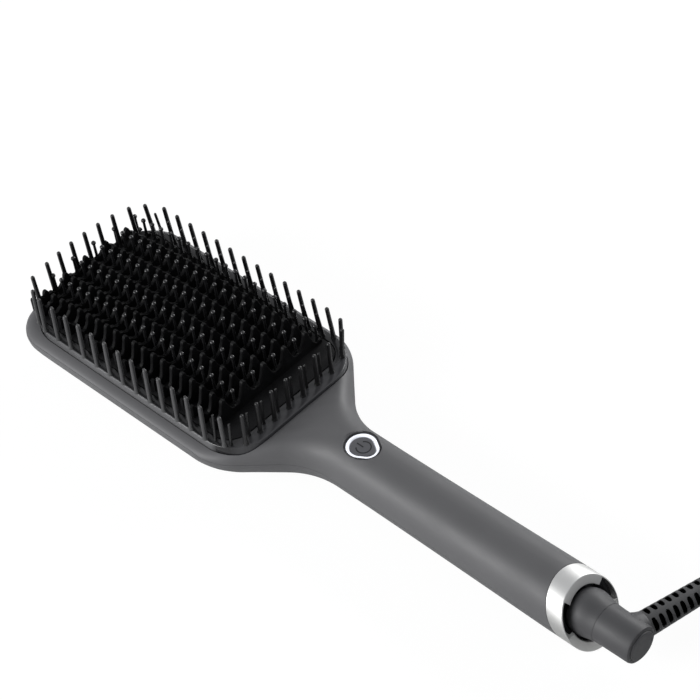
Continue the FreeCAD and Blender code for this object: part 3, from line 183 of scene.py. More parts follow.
class Finish(Tree):
    """One material and the nodes that most surfaces share."""

    def __init__(self, name):
        self.material = bpy.data.materials.new(name)
        self.material.use_nodes = True
        super().__init__(self.material.node_tree)

    def place(self):
        """A point's place in the frame of its object."""
        return self.node("ShaderNodeTexCoord", output="Object")

    def axis(self, index):
        """One coordinate of the place: 0 for X, 1 for Y, 2 for Z."""
        return self.node("ShaderNodeSeparateXYZ", None, {"Vector": self.place()}, index)

    def noise(self, scale, detail=3.0, roughness=0.5, vector=None):
        """Noise between 0 and 1, its scale in features per metre."""
        return self.node("ShaderNodeTexNoise", {"noise_dimensions": "3D"},
                         {"Vector": vector or self.place(), "Scale": scale, "Detail": detail,
                          "Roughness": roughness})

    def stretched(self, scale):
        """The place, scaled along each axis."""
        return self.node("ShaderNodeMapping", {"vector_type": "POINT"},
                         {"Vector": self.place(), "Scale": scale})

    def span(self, value, low, high, from_low=0.0, from_high=1.0):
        """Carries one range of values over to another, held at its ends."""
        return self.node("ShaderNodeMapRange", {"clamp": True},
                         {"Value": value, "From Min": from_low, "From Max": from_high,
                          "To Min": low, "To Max": high})

    def mixed(self, share, first, second):
        """Mixes two colours by a share."""
        return self.node("ShaderNodeMix", {"data_type": "RGBA"}, {0: share, 6: first, 7: second}, 2)

    def bump(self, height, depth):
        """A normal disturbed by a height, its depth in metres."""
        return self.node("ShaderNodeBump", None, {"Height": height, "Distance": depth})

    def surface(self, **sockets):
        """Ends the tree in one plain shader; underscores in the names stand for spaces."""
        named = {key.replace("_", " "): value for key, value in sockets.items()}
        shader = self.node("ShaderNodeBsdfPrincipled", None, named)
        self.node("ShaderNodeOutputMaterial", None, {"Surface": shader})
        return self.material


def shade(base, factor):
    """A colour made lighter or darker."""
    return (*[min(part * factor, 1) for part in base[:3]], 1)


def soft_touch(name, base, roughness=0.5, grain=0.000012):
    """Painted soft-touch plastic: fine even grain, faint handling marks."""
    look = Finish(name)
    cloud = look.noise(38, 4, 0.55)
    speckle = look.noise(5200, 2, 0.6)
    marks = look.noise(120, 5, 0.65, look.stretched((0.5, 1.6, 1.6)))
    tone = look.mixed(look.span(cloud, 0, 1, 0.35, 0.65), shade(base, 0.965), shade(base, 1.035))
    tone = look.mixed(look.span(speckle, 0, 0.10, 0.5, 0.75), tone, shade(base, 1.5))
    worn = look.span(marks, roughness - 0.045, roughness + 0.055, 0.3, 0.7)
    relief = look.noise(2600, 3, 0.6)
    return look.surface(Base_Color=tone, Roughness=worn, Normal=look.bump(relief, grain),
                        Specular_IOR_Level=0.42)


def near_side_light(look, dark, light, first, last):
    """Painted light: a tone that lightens past a distance towards the low Y side, the side that
    faces the near lamp, less so near the toe.
    """
    share = (look.span(look.axis(1) * -1.0, 0, 1, first, last)
             * look.span(look.axis(0), 0.45, 1.0, TOE + 0.008, TOE + 0.045))
    return look.mixed(share, dark, light)


def matt_frame(name, base):
    """The bristle frame: polished black, its near side turned grey by painted light and its neck
    end lightened by a painted reflection.
    """
    look = Finish(name)
    smears = look.noise(90, 5, 0.62, look.stretched((1.0, 0.35, 1.0)))
    # Painted reflection: towards the neck end the frame turns dark grey, standing for the surround
    # reflected there.
    neck_reflection_share = look.span(look.axis(0), 0, 1, along(118.0), along(121.5))
    with_neck_reflection = look.mixed(neck_reflection_share, base, (0.05, 0.05, 0.054, 1))
    # Painted light: the near side is mixed towards grey, as if lit from that side.
    tone = near_side_light(look, with_neck_reflection, (0.12, 0.12, 0.124, 1), 0.0328, 0.0334)
    return look.surface(Base_Color=tone, Roughness=look.span(smears, 0.16, 0.3, 0.42, 0.72),
                        Normal=look.bump(look.noise(160, 2, 0.4), 0.000018))


def nylon(name, base, roughness=0.3, lit_row_tone=0.0):
    """Satin nylon: faint flow lines up the bristle, the near row lightened by painted light when a
    row tone is given.
    """
    look = Finish(name)
    flow = look.noise(900, 3, 0.5, look.stretched((1, 1, 0.08)))
    cloud = look.noise(60, 3)
    tone = look.mixed(look.span(cloud, 0, 1, 0.35, 0.65), shade(base, 0.75), shade(base, 1.3))
    # Painted light: the near row is lightened towards the row tone, as if lit from its side.
    if lit_row_tone:
        tone = near_side_light(look, tone, (lit_row_tone, lit_row_tone, lit_row_tone * 1.03, 1), 0.0298, 0.0306)
    rough = look.span(flow, roughness - 0.05, roughness + 0.08, 0.35, 0.65)
    return look.surface(Base_Color=tone, Roughness=rough, Normal=look.bump(flow, 0.00002))


def coated_metal(name, base, roughness):
    """Baked ceramic coating: fine orange peel, slightly lighter in cloudy patches."""
    look = Finish(name)
    peel = look.noise(1500, 2, 0.5)
    cloud = look.noise(70, 4, 0.6)
    tone = look.mixed(look.span(cloud, 0, 1, 0.4, 0.7), base, shade(base, 1.7))
    rough = look.span(cloud, roughness - 0.06, roughness + 0.06, 0.3, 0.7)
    return look.surface(Base_Color=tone, Roughness=rough, Specular_IOR_Level=0.13,
                        Normal=look.bump(peel, 0.000025))


def bright_metal(name, base, roughness, scratch_scale, scratch=0.06):
    """Plated or rolled metal with hairline polishing marks."""
    look = Finish(name)
    hair = look.noise(2600, 4, 0.6, look.stretched(scratch_scale))
    haze = look.noise(110, 4, 0.6)
    tone = look.mixed(look.span(haze, 0, 1, 0.35, 0.7), base, shade(base, 0.93))
    rough = look.span(hair + haze * 0.6, roughness, roughness + scratch, 0.55, 1.05)
    return look.surface(Base_Color=tone, Metallic=1.0, Roughness=rough,
                        Normal=look.bump(hair, 0.0000035))


def slot_shadow(look):
    """How deep a point lies below the strain relief's tapered surface, from 0 to 1: the share of
    painted shade in its slots.
    """
    def vector_maths(operation, first, second=None, output=0):
        sockets = {0: first} if second is None else {0: first, 1: second}
        return look.node("ShaderNodeVectorMath", {"operation": operation}, sockets, output)

    offset = vector_maths("SUBTRACT", look.place(), CORD_ROOT)
    run = vector_maths("DOT_PRODUCT", offset, CORD_WAY, 1)
    radius = vector_maths("LENGTH", vector_maths("CROSS_PRODUCT", offset, CORD_WAY), output=1)
    root_radius, taper, end = 0.00507, 0.0242, 0.0571
    depth = root_radius - run * taper - radius
    within_sleeve = look.span(run, 1, 0, end - 0.0003, end + 0.0003)
    return look.span(depth, 0, 1, 0.0002, 0.0006) * within_sleeve


def rubbery(name, base, roughness, shaded_in_slots=False):
    """Matte flexible moulding, turned black by painted shade where it lies deep in the strain
    relief's slots.
    """
    look = Finish(name)
    grain = look.noise(3300, 3, 0.6)
    cloud = look.noise(80, 4, 0.6)
    tone = look.mixed(look.span(cloud, 0, 1, 0.35, 0.65), shade(base, 0.85), shade(base, 1.25))
    # Painted shade: deep in the slots the colour goes to black, and Metallic there takes the
    # reflections away too.
    shadow = slot_shadow(look) if shaded_in_slots else 0.0
    if shaded_in_slots:
        tone = look.mixed(shadow, tone, (0.002, 0.002, 0.002, 1))
    rough = look.span(cloud, roughness - 0.06, roughness + 0.08, 0.3, 0.7)
    return look.surface(Base_Color=tone, Roughness=rough, Metallic=shadow,
                        Normal=look.bump(grain, 0.00002))


def painted_glow_ring(name, base):
    """Translucent white ring with a painted glow, a little brighter in places."""
    look = Finish(name)
    cloud = look.noise(260, 3, 0.5)
    glow = look.mixed(look.span(cloud, 0, 1, 0.3, 0.7), shade(base, 0.92), base)
    # Painted glow: the emission makes the ring shine by itself.
    return look.surface(Base_Color=glow, Roughness=look.span(cloud, 0.22, 0.34),
                        Emission_Color=glow, Emission_Strength=0.55)


def speckled(name, base, second, scale=900, roughness=0.4, depth=0.00002):
    """A plain two-tone technical surface for the pieces inside."""
    look = Finish(name)
    spots = look.noise(scale, 4, 0.6)
    tone = look.mixed(look.span(spots, 0, 1, 0.42, 0.6), (*base, 1), (*second, 1))
    rough = look.span(spots, roughness - 0.05, roughness + 0.08)
    return look.surface(Base_Color=tone, Roughness=rough, Normal=look.bump(spots, depth))


def board_resist(name):
    """Green solder resist over copper tracks."""
    look = Finish(name)
    tracks = look.node("ShaderNodeTexBrick", {"offset": 0.37, "squash": 0.7},
                       {"Vector": look.place(), "Color1": (0.012, 0.13, 0.05, 1),
                        "Color2": (0.016, 0.17, 0.065, 1), "Mortar": (0.03, 0.26, 0.1, 1),
                        "Scale": 190.0, "Mortar Size": 0.03})
    cloud = look.noise(300, 3)
    return look.surface(Base_Color=tracks, Roughness=look.span(cloud, 0.25, 0.4),
                        Normal=look.bump(cloud, 0.00003))


FINISHES = {}


def make_finishes(colours):
    """Every finish by the record's slot name, and a few more for added details."""
    FINISHES.update({
        "housing_grey": soft_touch("soft_touch_grey", colours.housing),
        "gloss_black": matt_frame("frame_black", colours.bezel),
        "ball_tip": nylon("ball_pin_nylon", colours.pin, 0.16),
        "bristle_outer": nylon("bristle_nylon_outer", colours.bristle, 0.34, 0.06),
        "bristle_black": nylon("bristle_nylon", colours.bristle),
        "coated_heater": coated_metal("coated_comb", colours.comb, 0.46),
        "button_grey": soft_touch("button_satin", colours.button, 0.42, 0.000008),
        "button_mark": soft_touch("button_mark_ink", (0.012, 0.012, 0.014, 1), 0.45, 0.000006),
        "light_white": painted_glow_ring("light_ring_white", colours.light),
        "chrome": bright_metal("polished_chrome", colours.collar, 0.46, (0.12, 1, 1), 0.04),
        "swivel_dark": soft_touch("swivel_socket_dark", (0.022, 0.022, 0.024, 1), 0.42),
        "elbow_grey": soft_touch("elbow_satin", colours.elbow, 0.52, 0.00001),
        "relief_rubber": rubbery("strain_relief_rubber", colours.rubber, 0.42),
        # The sleeve and the cord carry painted shade deep in the slots.
        "slotted_rubber": rubbery("strain_relief_slotted", colours.sleeve, 0.42, True),
        "cord_black": rubbery("cord_rubber", colours.rubber, 0.46, True),
        "plug_black": rubbery("plug_moulding", (0.024, 0.024, 0.026, 1), 0.5),
        "nickel": bright_metal("nickel_pins", (0.72, 0.69, 0.62, 1), 0.18, (1, 1, 0.2)),
        "steel": bright_metal("rolled_steel", (0.56, 0.56, 0.57, 1), 0.28, (0.1, 1, 1), 0.12),
        "brass": bright_metal("turned_brass", (0.78, 0.57, 0.24, 1), 0.22, (1, 0.2, 0.2), 0.1),
        "carrier_resin": speckled("carrier_resin_black",
                                  (0.03, 0.028, 0.026), (0.045, 0.041, 0.036)),
        "ceramic_white": speckled("fired_ceramic",
                                  (0.80, 0.78, 0.73), (0.70, 0.67, 0.61), 1600, 0.5),
        "mica": speckled("mica_flakes", (0.56, 0.45, 0.27), (0.34, 0.26, 0.14), 420, 0.35, 0.00008),
        "glass_bead": speckled("sensor_bead", (0.75, 0.42, 0.16), (0.55, 0.27, 0.08), 700, 0.15),
        "board_green": board_resist("board_solder_resist"),
        "component_black": speckled("component_case",
                                    (0.02, 0.02, 0.02), (0.035, 0.035, 0.035), 2500),
        "component_yellow": speckled("component_dipped",
                                     (0.72, 0.5, 0.08), (0.62, 0.4, 0.05), 800, 0.2),
        "wire_white": speckled("wire_sleeve", (0.75, 0.74, 0.70), (0.62, 0.6, 0.55), 1100, 0.35),
    })


# ---------------------------------------------------------------- mesh helpers

def mesh_piece(name, points, faces, finish, crease=32):
    """A finished piece from points and faces."""
    mesh = bpy.data.meshes.new(name)
    mesh.from_pydata([tuple(point) for point in points], [], faces)
    return finished_piece(name, mesh, finish, crease)


def finished_piece(name, mesh, finish, crease=32):
    """An object on a mesh, with its finish, shaded smooth up to a crease angle in degrees."""
    mesh.validate()
    mesh.materials.clear()
    mesh.materials.append(FINISHES[finish])
    mesh.polygons.foreach_set("use_smooth", [True] * len(mesh.polygons))
    mesh.set_sharp_from_angle(angle=radians(crease))
    mesh.update()
    made = bpy.data.objects.new(name, mesh)
    bpy.context.scene.collection.objects.link(made)
    return made


def lofted(name, loops, finish, closed=False, crease=32):
    """A skin over loops of points, closed round on itself or with flat ends."""
    count = len(loops[0])
    pairs = list(zip(range(len(loops)), range(1, len(loops))))
    if closed:
        pairs.append((len(loops) - 1, 0))
    faces = []
    for low, high in pairs:
        for index in range(count):
            after = (index + 1) % count
            faces.append((low * count + index, low * count + after,
                          high * count + after, high * count + index))
    if not closed:
        start = (len(loops) - 1) * count
        faces += [tuple(reversed(range(count))), tuple(range(start, start + count))]
    made = mesh_piece(name, [point for loop in loops for point in loop], faces, finish, crease)
    outward(made.data)
    return made


def outward(mesh):
    """Merges doubles and turns every face outwards."""
    work = bmesh.new()
    work.from_mesh(mesh)
    bmesh.ops.remove_doubles(work, verts=work.verts, dist=1e-7)
    bmesh.ops.recalc_face_normals(work, faces=work.faces)
    work.to_mesh(mesh)
    work.free()
    mesh.update()


def lathe_loops(profile, segments):
    """Loops about the grip's axis through (millimetres from the toe, radius in millimetres)."""
    turns = [2 * pi * index / segments for index in range(segments)]
    return [[Vector((along(distance), radius * MM * cos(turn), GRIP_AXIS + radius * MM * sin(turn)))
             for turn in turns] for distance, radius in profile]


def slanted_loops(profile, segments):
    """Loops like those of a lathe, on planes that lean as the end of the grip does."""
    loops = lathe_loops(profile, segments)
    for loop in loops:
        for point in loop:
            point.x -= SLANT * (point.z - GRIP_AXIS)
    return loops


def softened(profile, radius):
    """Rounds the corners of a profile of (place, radius) points."""
    steps = 4
    out = [profile[0]]
    for before, corner, after in zip(profile, profile[1:], profile[2:]):
        middle = Vector(corner)
        back, forward = Vector(before) - middle, Vector(after) - middle
        reach = min(radius, 0.45 * back.length, 0.45 * forward.length)
        if back.length < 1e-6 or forward.length < 1e-6 or back.angle(forward) > radians(165):
            out.append(corner)
            continue
        start = middle + back.normalized() * reach
        end = middle + forward.normalized() * reach
        for step in range(steps + 1):
            share = step / steps
            bent = start.lerp(middle, share).lerp(middle.lerp(end, share), share)
            out.append((bent.x, bent.y))
    out.append(profile[-1])
    return out


def turned(name, profile, finish, closed=True, crease=32):
    """A piece turned about the grip's axis."""
    return lofted(name, lathe_loops(profile, 96), finish, closed, crease)


def rounded_loop(outline, inset, level):
    """Points of a rounded rectangle, always the same number, counter-clockwise.

    The outline is (start, length, width, corner radius) in millimetres, and the loop lies
    inside it by the inset.
    """
    start, length, width, radius = outline
    radius -= inset
    low, high = start + inset + radius, start + length - inset - radius
    half = width / 2 - inset - radius
    arc_steps, side_steps = 14, (30, 18, 30, 18)
    arcs = []
    for x, y, turn in ((high, half, 0), (low, half, 90), (low, -half, 180), (high, -half, 270)):
        angles = [radians(turn + 90 * step / arc_steps) for step in range(arc_steps + 1)]
        arcs.append([(x + radius * cos(angle), y + radius * sin(angle)) for angle in angles])
    points = []
    for arc, after, count in zip(arcs, arcs[1:] + arcs[:1], side_steps):
        points += arc
        (x, y), (run_x, run_y) = arc[-1], (after[0][0] - arc[-1][0], after[0][1] - arc[-1][1])
        points += [(x + run_x * step / count, y + run_y * step / count)
                   for step in range(1, count)]
    return [Vector((along(x), y * MM, level * MM)) for x, y in points]


def evaluated_mesh(holder):
    """A plain mesh of an object with its modifiers applied."""
    bpy.context.view_layer.update()
    evaluated = holder.evaluated_get(bpy.context.evaluated_depsgraph_get())
    return bpy.data.meshes.new_from_object(evaluated)


def cut(target, tool, operation="DIFFERENCE"):
    """Applies one boolean and drops the tool."""
    modifier = target.modifiers.new("cut", "BOOLEAN")
    modifier.object = tool
    modifier.operation = operation
    modifier.solver = "EXACT"
    result = evaluated_mesh(target)
    target.modifiers.clear()
    target.data = result
    bpy.data.objects.remove(tool)


def refinished(piece, name, finish, crease):
    """A fresh piece on the mesh of one that has been cut."""
    mesh = piece.data
    bpy.data.objects.remove(piece)
    return finished_piece(name, mesh, finish, crease)


def merged(name, pieces, finish, crease=40):
    """Joins several meshes into one piece."""
    work = bmesh.new()
    for piece in pieces:
        work.from_mesh(piece.data)
    mesh = bpy.data.meshes.new(name)
    work.to_mesh(mesh)
    work.free()
    for piece in pieces:
        bpy.data.objects.remove(piece)
    return finished_piece(name, mesh, finish, crease)


def copy_of(node, name, finish, crease=30):
    """A piece on a copy of a CAD node's mesh, its doubles merged."""
    mesh = NODES[node].data.copy()
    work = bmesh.new()
    work.from_mesh(mesh)
    bmesh.ops.remove_doubles(work, verts=work.verts, dist=2e-6)
    bmesh.ops.dissolve_degenerate(work, edges=work.edges, dist=1e-7)
    work.to_mesh(mesh)
    work.free()
    return finished_piece(name, mesh, finish, crease)


def stands_for(piece, body, slot, *nodes):
    """Puts a finished piece on its body, in place of CAD nodes."""
    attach(piece, body)
    if nodes:
        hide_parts(*nodes)


# ---------------------------------------------------------------- housing form

# All in millimetres, from the toe and from the ground. A rounded outline is
# (start, length, width, corner radius).
BLOCK = (4.3, 120.9, 67.0, 16.5)          # the bristle frame
WINDOW = (5.15, 113.55, 60.0, 9.5)        # the opening in it for the heater
HEAD, SHOULDER = 104.0, 47.1              # lengths of the paddle and of its shoulders
HALF, GRIP = 38.0, 11.95                  # half width of the paddle, radius of the grip
BLEND = 6.0                               # reach of the shoulders' form past both their ends
GRIP_END = 264.0                          # end of the uncut form, inside the collar
RIM_TOP, WAIST = 18.8, 15.7               # levels of the paddle's top and of its widest line
RIM, TOE_ROUND = 6.0, 17.0                # roundings of the rim and of the toe's corners
TOE_RISE, NOSE, POWER = 24.0, 0.3, 1.8    # how the back climbs to the toe
KEEL = 1 - 23.0 / 78.4                    # share of the half width in which the back curves up
SHOULDER_ROUND, FLANK = 22.5, radians(44.4)   # outer radius and angle of the shoulders
SLANT = 0.45                              # how far the grip's end leans, per unit of height
COLLAR_FRONT, COLLAR_REAR = 256.4, 263.8
SWELL_START, SWELL_RUN = 165, 86          # where the grip starts to grow, and over what run
SWELL_RISE, SWELL_BEND = 0.88, 1.3


def swell(distance):
    """How much the grip's radius has grown towards its end."""
    return SWELL_RISE * min(max((distance - SWELL_START) / SWELL_RUN, 0), 1) ** SWELL_BEND


def plan_half_width(run):
    """Half width of the shoulders at a run past the paddle: a round, a flank and a hollow."""
    slope = cos(FLANK) / sin(FLANK)
    both_radii = (SHOULDER - (HALF - GRIP) * slope) / (sin(FLANK) - slope * (1 - cos(FLANK)))
    concave = both_radii - SHOULDER_ROUND
    if run <= 0:
        return HALF
    if run >= SHOULDER:
        return GRIP
    if run < SHOULDER_ROUND * sin(FLANK):
        return HALF - SHOULDER_ROUND + sqrt(SHOULDER_ROUND ** 2 - run ** 2)
    if run > SHOULDER - concave * sin(FLANK):
        return GRIP + concave - sqrt(concave ** 2 - (SHOULDER - run) ** 2)
    flank_run = run - SHOULDER_ROUND * sin(FLANK)
    return HALF - SHOULDER_ROUND * (1 - cos(FLANK)) - flank_run * tan(FLANK)


def housing_section(distance, inset):
    """One closed cross-section of the housing's form, at a distance from the toe."""
    run = distance - HEAD
    rim = max(RIM - inset, 0.4)
    if run < -BLEND:
        within = max(distance - inset + NOSE, 0.02)
        corner = TOE_ROUND - inset
        half = HALF - inset - corner + sqrt(max(corner ** 2 - max(corner - within, 0) ** 2, 0))
        top = WAIST + (RIM_TOP - WAIST - inset) * sqrt(1 - max((rim - within) / rim, 0) ** 2)
        climb = max((TOE_RISE - inset - within) / (TOE_RISE - inset), 0) ** POWER
        bottom = inset + (WAIST - inset) * (1 - (1 - climb) ** (1 / POWER))
        middle, keel, power = WAIST, KEEL * half, POWER
    else:
        share = min(max(run / SHOULDER, 0), 1)
        blend = share * share * (3 - 2 * share)
        half = plan_half_width(run) - inset + swell(distance)
        top = RIM_TOP + (2 * GRIP - RIM_TOP) * blend - inset + swell(distance)
        middle = WAIST + (GRIP - WAIST) * blend
        rim += (0.98 * (GRIP - inset + swell(distance)) - rim) * blend
        keel = half * (KEEL + (0.98 - KEEL) * blend)
        power, bottom = POWER + (2 - POWER) * blend, inset - swell(distance)
    flat_top, flat_back = half - rim, half - keel
    side = [(flat_top * step / 6, top) for step in range(6)]
    for step in range(8):
        angle = radians(90 * (1 - step / 8))
        side.append((flat_top + rim * cos(angle), middle + (top - middle) * sin(angle)))
    for step in range(13):
        angle = radians(90 * step / 12)
        across, down = max(cos(angle), 0) ** (2 / power), sin(angle) ** (2 / power)
        side.append((flat_back + keel * across, middle - (middle - bottom) * down))
    side += [(flat_back * (1 - step / 5), bottom) for step in range(1, 6)]
    points = side + [(-y, z) for y, z in reversed(side[1:-1])]
    return [Vector((along(distance), y * MM, z * MM)) for y, z in points]


def steps_between(first, last, stride):
    """Evenly spaced places from the first up to the last, which is left out."""
    count = max(int((last - first) / stride + 0.5), 1)
    return [first + (last - first) * index / count for index in range(count)]


def form(name, inset, stride, run_on=0.0):
    """The outer form of the housing, or the hollow in it."""
    toe_run, toe_steps = 24, 26
    places = [inset + toe_run * (index / toe_steps) ** 1.7 for index in range(toe_steps)]
    places += steps_between(inset + toe_run, HEAD - BLEND, 2.5 * stride)
    places += steps_between(HEAD - BLEND, HEAD + SHOULDER + BLEND, stride)
    places += steps_between(HEAD + SHOULDER + BLEND, GRIP_END + run_on, 3 * stride)
    places.append(GRIP_END + run_on)
    return lofted(name, [housing_section(place, inset) for place in places], "housing_grey")


def prism(name, outline, reach):
    """A tool that runs across the brush, from an outline of (place, level) points."""
    loops = [[Vector((along(x), y * MM, z * MM)) for x, z in outline] for y in (-reach, reach)]
    return lofted(name, loops, "housing_grey")


def seam_tool(above, gap):
    """The space on one side of the parting line."""
    front, rear = -40, 300
    shift, limit = (gap / 2 / MM, 60) if above else (-gap / 2 / MM, -20)
    line = [(front, 16.8), (HEAD, 16.8), (HEAD + SHOULDER, 10.5), (rear, 10.5)]
    outline = [(x, z + shift) for x, z in line] + [(rear, limit), (front, limit)]
    return prism("seam", outline, 60)


def end_tool():
    """The space past the grip's end, its front face slanted as the collar is."""
    rear, low, high = 300, -30, 60
    foot, head = [(COLLAR_FRONT - SLANT * (level - GRIP), level) for level in (low, high)]
    return prism("end_cut", [foot, (rear, low), (rear, high), head], 40)


EGG_PLACE, EGG_STRETCH = 155.9, 3.0       # centre of the wide arc, distance to the narrow one
EGG_WIDE_POINTS, EGG_NARROW_POINTS = 43, 29


def egg_loop(wide, level, narrow=None):
    """The button's outline: a wide and a narrow arc joined by tangents."""
    narrow = wide - 1.5 if narrow is None else narrow
    lean = acos((wide - narrow) / EGG_STRETCH)
    points = []
    for step in range(EGG_WIDE_POINTS):
        angle = lean + (2 * pi - 2 * lean) * step / (EGG_WIDE_POINTS - 1)
        points.append((EGG_PLACE + wide * cos(angle), wide * sin(angle)))
    for step in range(EGG_NARROW_POINTS):
        angle = -lean + 2 * lean * step / (EGG_NARROW_POINTS - 1)
        points.append((EGG_PLACE + EGG_STRETCH + narrow * cos(angle), narrow * sin(angle)))
    return [Vector((along(x), y * MM, level * MM)) for x, y in points]


def flare(radius, steps=5):
    """Offsets and rises of a cutter that leaves a rounded lip: (outward, up)."""
    angles = [radians(90 * step / steps) for step in range(steps + 1)]
    return [(radius * (1 - cos(angle)), radius * sin(angle)) for angle in angles]


class HAIRBRUSH_OT_housing(bpy.types.Operator):
    """Builds both shells of the housing with their parting line, opening and button recess"""

    bl_idname = "hairbrush.housing"
    bl_label = "Housing"

    def execute(self, context):
        sizes = context.scene.brush_sizes
        lip = sizes.lip / MM
        shells = []
        for above in (True, False):
            shell = form("upper_shell" if above else "rear_shell", 0, 1.3)
            cut(shell, seam_tool(above, sizes.seam_gap), "INTERSECT")
            cut(shell, form("hollow", 2.2, 3.0, 1.0))
            cut(shell, end_tool())
            shells.append(shell)
        upper, rear = shells
        mouth = [rounded_loop(BLOCK, -0.16, level) for level in (12, 40)]
        cut(upper, lofted("mouth", mouth, "housing_grey"))
        top, floor = 2 * GRIP, 2 * GRIP - 1.55
        recess = [egg_loop(6.0, 5), egg_loop(6.0, floor)]
        recess += [egg_loop(6.5 + out, floor + rise) for out, rise in flare(0.2, 3)]
        recess += [egg_loop(6.7 + out, top - lip - 0.25 + rise) for out, rise in flare(lip)]
        recess.append([point + UP * 0.004 for point in recess[-1]])
        cut(upper, lofted("recess", recess, "housing_grey"))
        for shell, node in ((upper, "upper_housing"), (rear, "rear_cover")):
            shell = refinished(shell, node + "_shell", "housing_grey", 28)
            stands_for(shell, "brush", "housing_grey", node)
        return {"FINISHED"}


# ---------------------------------------------------------------- bezel, bristles and combs

class HAIRBRUSH_OT_bezel(bpy.types.Operator):
    """Builds the raised black frame round the bristles"""

    bl_idname = "hairbrush.bezel"
    bl_label = "Bezel"

    def execute(self, context):
        outside = ((0.4, 11.5), (0.3, 16.5), (0.12, 18.5), (0, 21.9), (0.06, 22.2), (0.2, 22.4),
                   (0.42, 22.5))
        inside = ((-0.35, 22.5), (-0.12, 22.47), (-0.03, 22.38), (0, 22.25), (0, 20.5))
        loops = [rounded_loop(BLOCK, inset, level) for inset, level in outside]
        loops += [rounded_loop(WINDOW, inset, level) for inset, level in inside]
        bezel = lofted("bristle_bezel", loops, "gloss_black", closed=True)
        stands_for(bezel, "brush", "gloss_black", "bristle_frame")
        return {"FINISHED"}


def tree_input(group, name, kind="NodeSocketFloat"):
    """Adds an input to a node group and gives its key."""
    return group.interface.new_socket(name, in_out="INPUT", socket_type=kind).identifier


def pin_tree(name, finish):
    """Geometry nodes that stand a tapered pin with a rounded tip on every point, along its lean."""
    group = bpy.data.node_groups.new(name, "GeometryNodeTree")
    tree = Tree(group)
    tree_input(group, "Places", "NodeSocketGeometry")
    labels = {"height": "Height", "foot": "Foot radius", "waist": "Shaft radius",
              "tip": "Tip radius", "ball": "Ball radius", "collar": "Collar height"}
    keys = {size: tree_input(group, label) for size, label in labels.items()}
    group.interface.new_socket("Geometry", in_out="OUTPUT", socket_type="NodeSocketGeometry")
    places = tree.node("NodeGroupInput", output="Places")
    given = {size: tree.node("NodeGroupInput", output=label) for size, label in labels.items()}
    collar = tree.node("GeometryNodeMeshCone", {"fill_type": "NONE"}, {
        "Vertices": 12, "Side Segments": 2, "Radius Bottom": given["foot"],
        "Radius Top": given["waist"], "Depth": given["collar"]})
    shaft_depth = given["height"] - given["ball"]
    shaft = tree.node("GeometryNodeMeshCone", {"fill_type": "NONE"}, {
        "Vertices": 12, "Side Segments": 3, "Radius Bottom": given["waist"],
        "Radius Top": given["tip"], "Depth": shaft_depth})
    ball = tree.node("GeometryNodeMeshUVSphere", None,
                     {"Segments": 12, "Rings": 8, "Radius": given["ball"]})
    lift = tree.node("ShaderNodeCombineXYZ", None, {"Z": shaft_depth})
    raised = tree.node("GeometryNodeTransform", None, {"Geometry": ball, "Translation": lift})
    joined = tree.node("GeometryNodeJoinGeometry", None, {0: [collar, shaft, raised]})
    smooth = tree.node("GeometryNodeSetShadeSmooth", None, {"Geometry": joined})
    lean = tree.node("GeometryNodeInputNamedAttribute", {"data_type": "FLOAT_VECTOR"},
                     {"Name": "lean"})
    turn = tree.node("FunctionNodeAlignRotationToVector", {"axis": "Z"}, {"Vector": lean})
    placed = tree.node("GeometryNodeInstanceOnPoints", None,
                       {"Points": places, "Instance": smooth, "Rotation": turn})
    real = tree.node("GeometryNodeRealizeInstances", None, {"Geometry": placed})
    covered = tree.node("GeometryNodeSetMaterial", None,
                        {"Geometry": real, "Material": FINISHES[finish]})
    tree.node("NodeGroupOutput", None, {0: covered})
    return group, keys


def grown(name, tree, keys, places, inputs, finish):
    """Runs a tree on a set of (place, lean) points and keeps the plain mesh."""
    seeds = bpy.data.meshes.new(name + "_places")
    seeds.from_pydata([tuple(place) for place, lean in places], [], [])
    leans = seeds.attributes.new("lean", "FLOAT_VECTOR", "POINT")
    leans.data.foreach_set("vector", [part for place, lean in places for part in lean])
    holder = bpy.data.objects.new(name + "_places", seeds)
    bpy.context.scene.collection.objects.link(holder)
    modifier = holder.modifiers.new("grow", "NODES")
    modifier.node_group = tree
    for key, value in inputs.items():
        modifier[keys[key]] = value
    mesh = evaluated_mesh(holder)
    bpy.data.objects.remove(holder)
    return finished_piece(name, mesh, finish, 40)


def ring_places(inset, phase, corners):
    """Feet of a row of bristles round the frame, in millimetres from the toe, with their lean.

    The inset is that from the outer row, the phase the share of a pitch by which the row is
    shifted, and a corner bristle is (end, side, angle).
    """
    outer = inset == 0
    half, lean = (32.75, 0.85) if outer else (31.0, 1.2)
    pitch, bend = 7.458, 8.5
    low, high, span = 4.1 + bend, 121.5 - bend, 33.1 - bend
    places = []
    for start, y, tilt in ((low + 0.75 * pitch, -half, lean), (low, half, -lean)):
        count = int((high - start - phase * pitch) / pitch + 0.99)
        for step in range(1 if outer and y > 0 else 0, count):
            places.append((start + (step + phase) * pitch, y, 0, tilt))
    count = int(2 * span / pitch)
    for step in range(count + 1 - int(2 * phase)):
        y = (step + phase - count / 2 - 0.4) * pitch
        places.append((121.5 - inset, y, 1.3, 0))
        if outer and step < count:
            aside = 0.9 * (y + 0.6 * pitch) + 1.9
            places.append((5.4 + 0.0045 * (aside + 3) ** 2, aside, -0.65, 0))
    for end, side, angle in corners:
        across, up = cos(radians(angle)), sin(radians(angle))
        if end > 0:
            x, y, reach, spread = high, side * span, bend - 0.3 * inset - 1.8, 1.8
        else:
            x, y = (low + 5.6, span - 2.1) if side > 0 else (low + 3.6, 1.2 - span)
            reach, spread = bend, 0
        places.append((x + reach * across, y + reach * up,
                       (1.2 + spread) * across, (spread - 1.2) * up))
    return places


